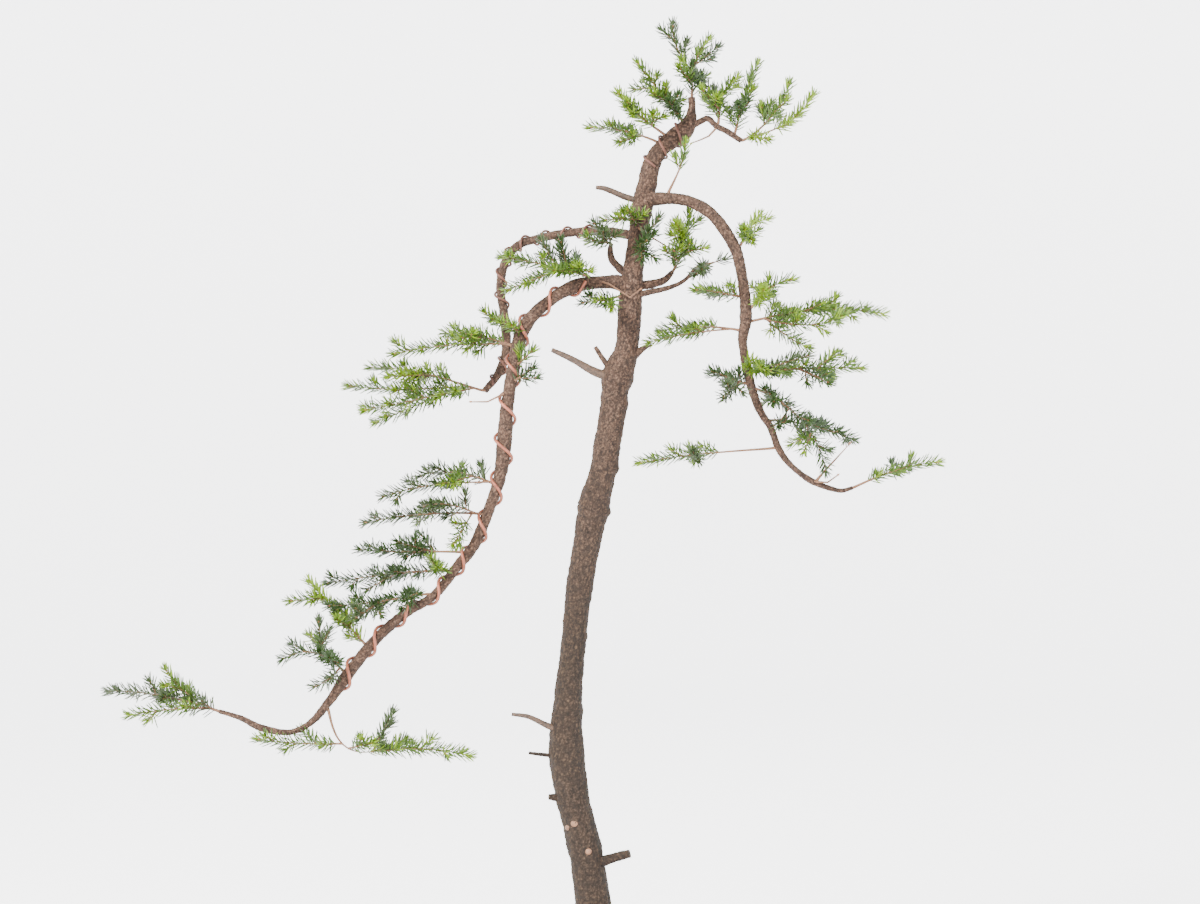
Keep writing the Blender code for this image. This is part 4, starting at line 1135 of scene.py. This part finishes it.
for name, (limb, mark, stem_row, *fork_rows) in {**SPRAYS, **TUFTS}.items():
    source = random.Random(f"{SEED} {name}")
    axis, radii = axes[limb]
    tip = Vector(stem_row[:3]) * MM
    if mark is None:
        heading = (axis[-1] - axis[-2]).normalized()
        start = axis[-1] - heading * MM
    else:
        goal = Vector((mark[0] * MM, 0, mark[1] * MM))
        index = min(range(1, len(axis) - 1), key=lambda i: (axis[i].xz - goal.xz).length)
        ahead = (axis[index + 1] - axis[index - 1]).normalized()
        heading = tip - axis[index]
        heading = (heading - ahead * heading.dot(ahead)).normalized()
        start = axis[index] + heading * float(radii[index]) * FOOT_DEPTH
    stem = shoot_path(start, heading, tip, stem_row[3])
    rows = [(stem, stem_row[4], STEM_RADIUS)]
    stem_lengths = measured(stem)
    for share, *tip_mm, bow, bare in fork_rows:
        base, _ = at_length(stem, stem_lengths, max(share * stem_lengths[-1], CORE_BEND))
        end = Vector(tip_mm) * MM
        rows.append((shoot_path(base, (end - base).normalized(), end, bow), bare, FORK_RADIUS))
        buds.append((base, (end - base).normalized(), 1.0))
    for path, bare, radius in rows:
        chance = source.random()
        kind = "green" if chance < GREEN_TO else "deep" if chance < DEEP_TO else "grey"
        if name in DARK_AND_SHADED_SPRAYS:
            kind = "deep" if chance < DARK_DEEP_TO else "grey"
        elif name in BRIGHT_SPRAYS:
            kind = "fresh" if chance < BRIGHT_FRESH_TO else "green"
        twigs.append((path, np.linspace(radius, TIP_RADIUS, len(path))))
        if bare < NO_NEEDLES:
            grow_needles(path, bare, source, kind)
            grow_sides(path, bare, source, kind)
        buds.append((path[-1], (path[-1] - path[-2]).normalized(), 1.0))

for run in BARE_TWIGS:
    points = [Vector(point) * MM for point in run]
    twigs.append((points, np.linspace(*BARE_RADII, len(points))))
    buds.append((points[-1], (points[-1] - points[-2]).normalized(), 0.9))

foliage_nodes = list(SPRAYS)
twig_bark = grained(
    "twig_bark",
    0.75,
    (
        (90, 1.0, ((0.3, (0.050, 0.019, 0.008)), (0.7, (0.130, 0.056, 0.023)))),
        (900, 0.35, ((0.42, (0.040, 0.017, 0.008)), (0.62, (0.300, 0.155, 0.075)))),
    ),
    (1500, 0.0003),
)
shoots = tubes("shoot_twigs", twigs, 1)
shoots.data.materials.append(twig_bark)
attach(shoots, "root")
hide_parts(*foliage_nodes)

bud_mesh = bpy.data.meshes.new("bud")
bud_body = bmesh.new()
bmesh.ops.create_icosphere(bud_body, subdivisions=1, radius=1)
for vertex in bud_body.verts:
    vertex.co.z = vertex.co.z * 1.5 + 0.7
    vertex.co.xy *= 1.0 - 0.25 * max(vertex.co.z, 0)
bud_body.to_mesh(bud_mesh)
bud_body.free()
bud = link(bpy.data.objects.new("bud", bud_mesh))
bud_scales = grained(
    "bud_scales",
    0.6,
    (
        (160, 1.0, ((0.3, (0.100, 0.034, 0.011)), (0.7, (0.250, 0.100, 0.034)))),
        (1200, 0.3, ((0.42, (0.050, 0.018, 0.007)), (0.62, (0.330, 0.165, 0.065)))),
    ),
    (1800, 0.0003),
)
BUD_RADIUS = 1.8 * MM
spots = [spot for spot, _, _ in buds]
turns = [tuple(way.to_track_quat("Z", "Y").to_euler()) for _, way, _ in buds]
sizes = [(BUD_RADIUS * size,) * 3 for _, _, size in buds]
bud_piece = scatter("shoot_buds", spots, turns, sizes, bud, bud_scales)
bpy.data.objects.remove(bud)
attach(bud_piece, "root")
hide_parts(*foliage_nodes)


# Needles: short stiff four-cornered blades, fresh yellow-green at young tips, deeper and greyer
# on old wood. The sprays inside, low in and behind the crown are deep and grey partly as painted
# shade. Each kind is one mesh in its own plain colour.
NEEDLE_ROUGHNESS = 0.48
needle_mesh = bpy.data.meshes.new("needle")
needle_rings = ((0.0, 0.55), (0.35, 1.0), (0.8, 0.75))
needle_corners = [
    (math.cos(turn) * wide / 2, math.sin(turn) * wide / 2 * 0.7 + 0.5 * far * far, far)
    for far, wide in needle_rings
    for turn in (0, 2 * math.pi / 3, 4 * math.pi / 3)
]
needle_corners.append((0, 0.5, 1.0))
needle_faces = [(2, 1, 0)]
for ring in (0, 3):
    for one, other in ((0, 1), (1, 2), (2, 0)):
        needle_faces.append((ring + one, ring + other, ring + other + 3, ring + one + 3))
needle_faces += [(6, 7, 9), (7, 8, 9), (8, 6, 9)]
needle_mesh.from_pydata(needle_corners, [], needle_faces)
needle = link(bpy.data.objects.new("needle", needle_mesh))
for kind, colour in NEEDLE_COLOURS.items():
    leaf, _, _, shader = new_material(f"needles_{kind}", NEEDLE_ROUGHNESS)
    shader.inputs["Base Color"].default_value = (*colour, 1)
    shader.inputs["Specular IOR Level"].default_value = 0.35
    spots = [spot for spot, _, _ in needles[kind]]
    turns = [tuple(way.to_track_quat("Z", "Y").to_euler()) for _, way, _ in needles[kind]]
    sizes = [(NEEDLE_WIDTH, NEEDLE_WIDTH, length) for _, _, length in needles[kind]]
    piece = scatter(f"needles_{kind}", spots, turns, sizes, needle, leaf)
    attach(piece, "root")
    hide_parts(*foliage_nodes)
bpy.data.objects.remove(needle)
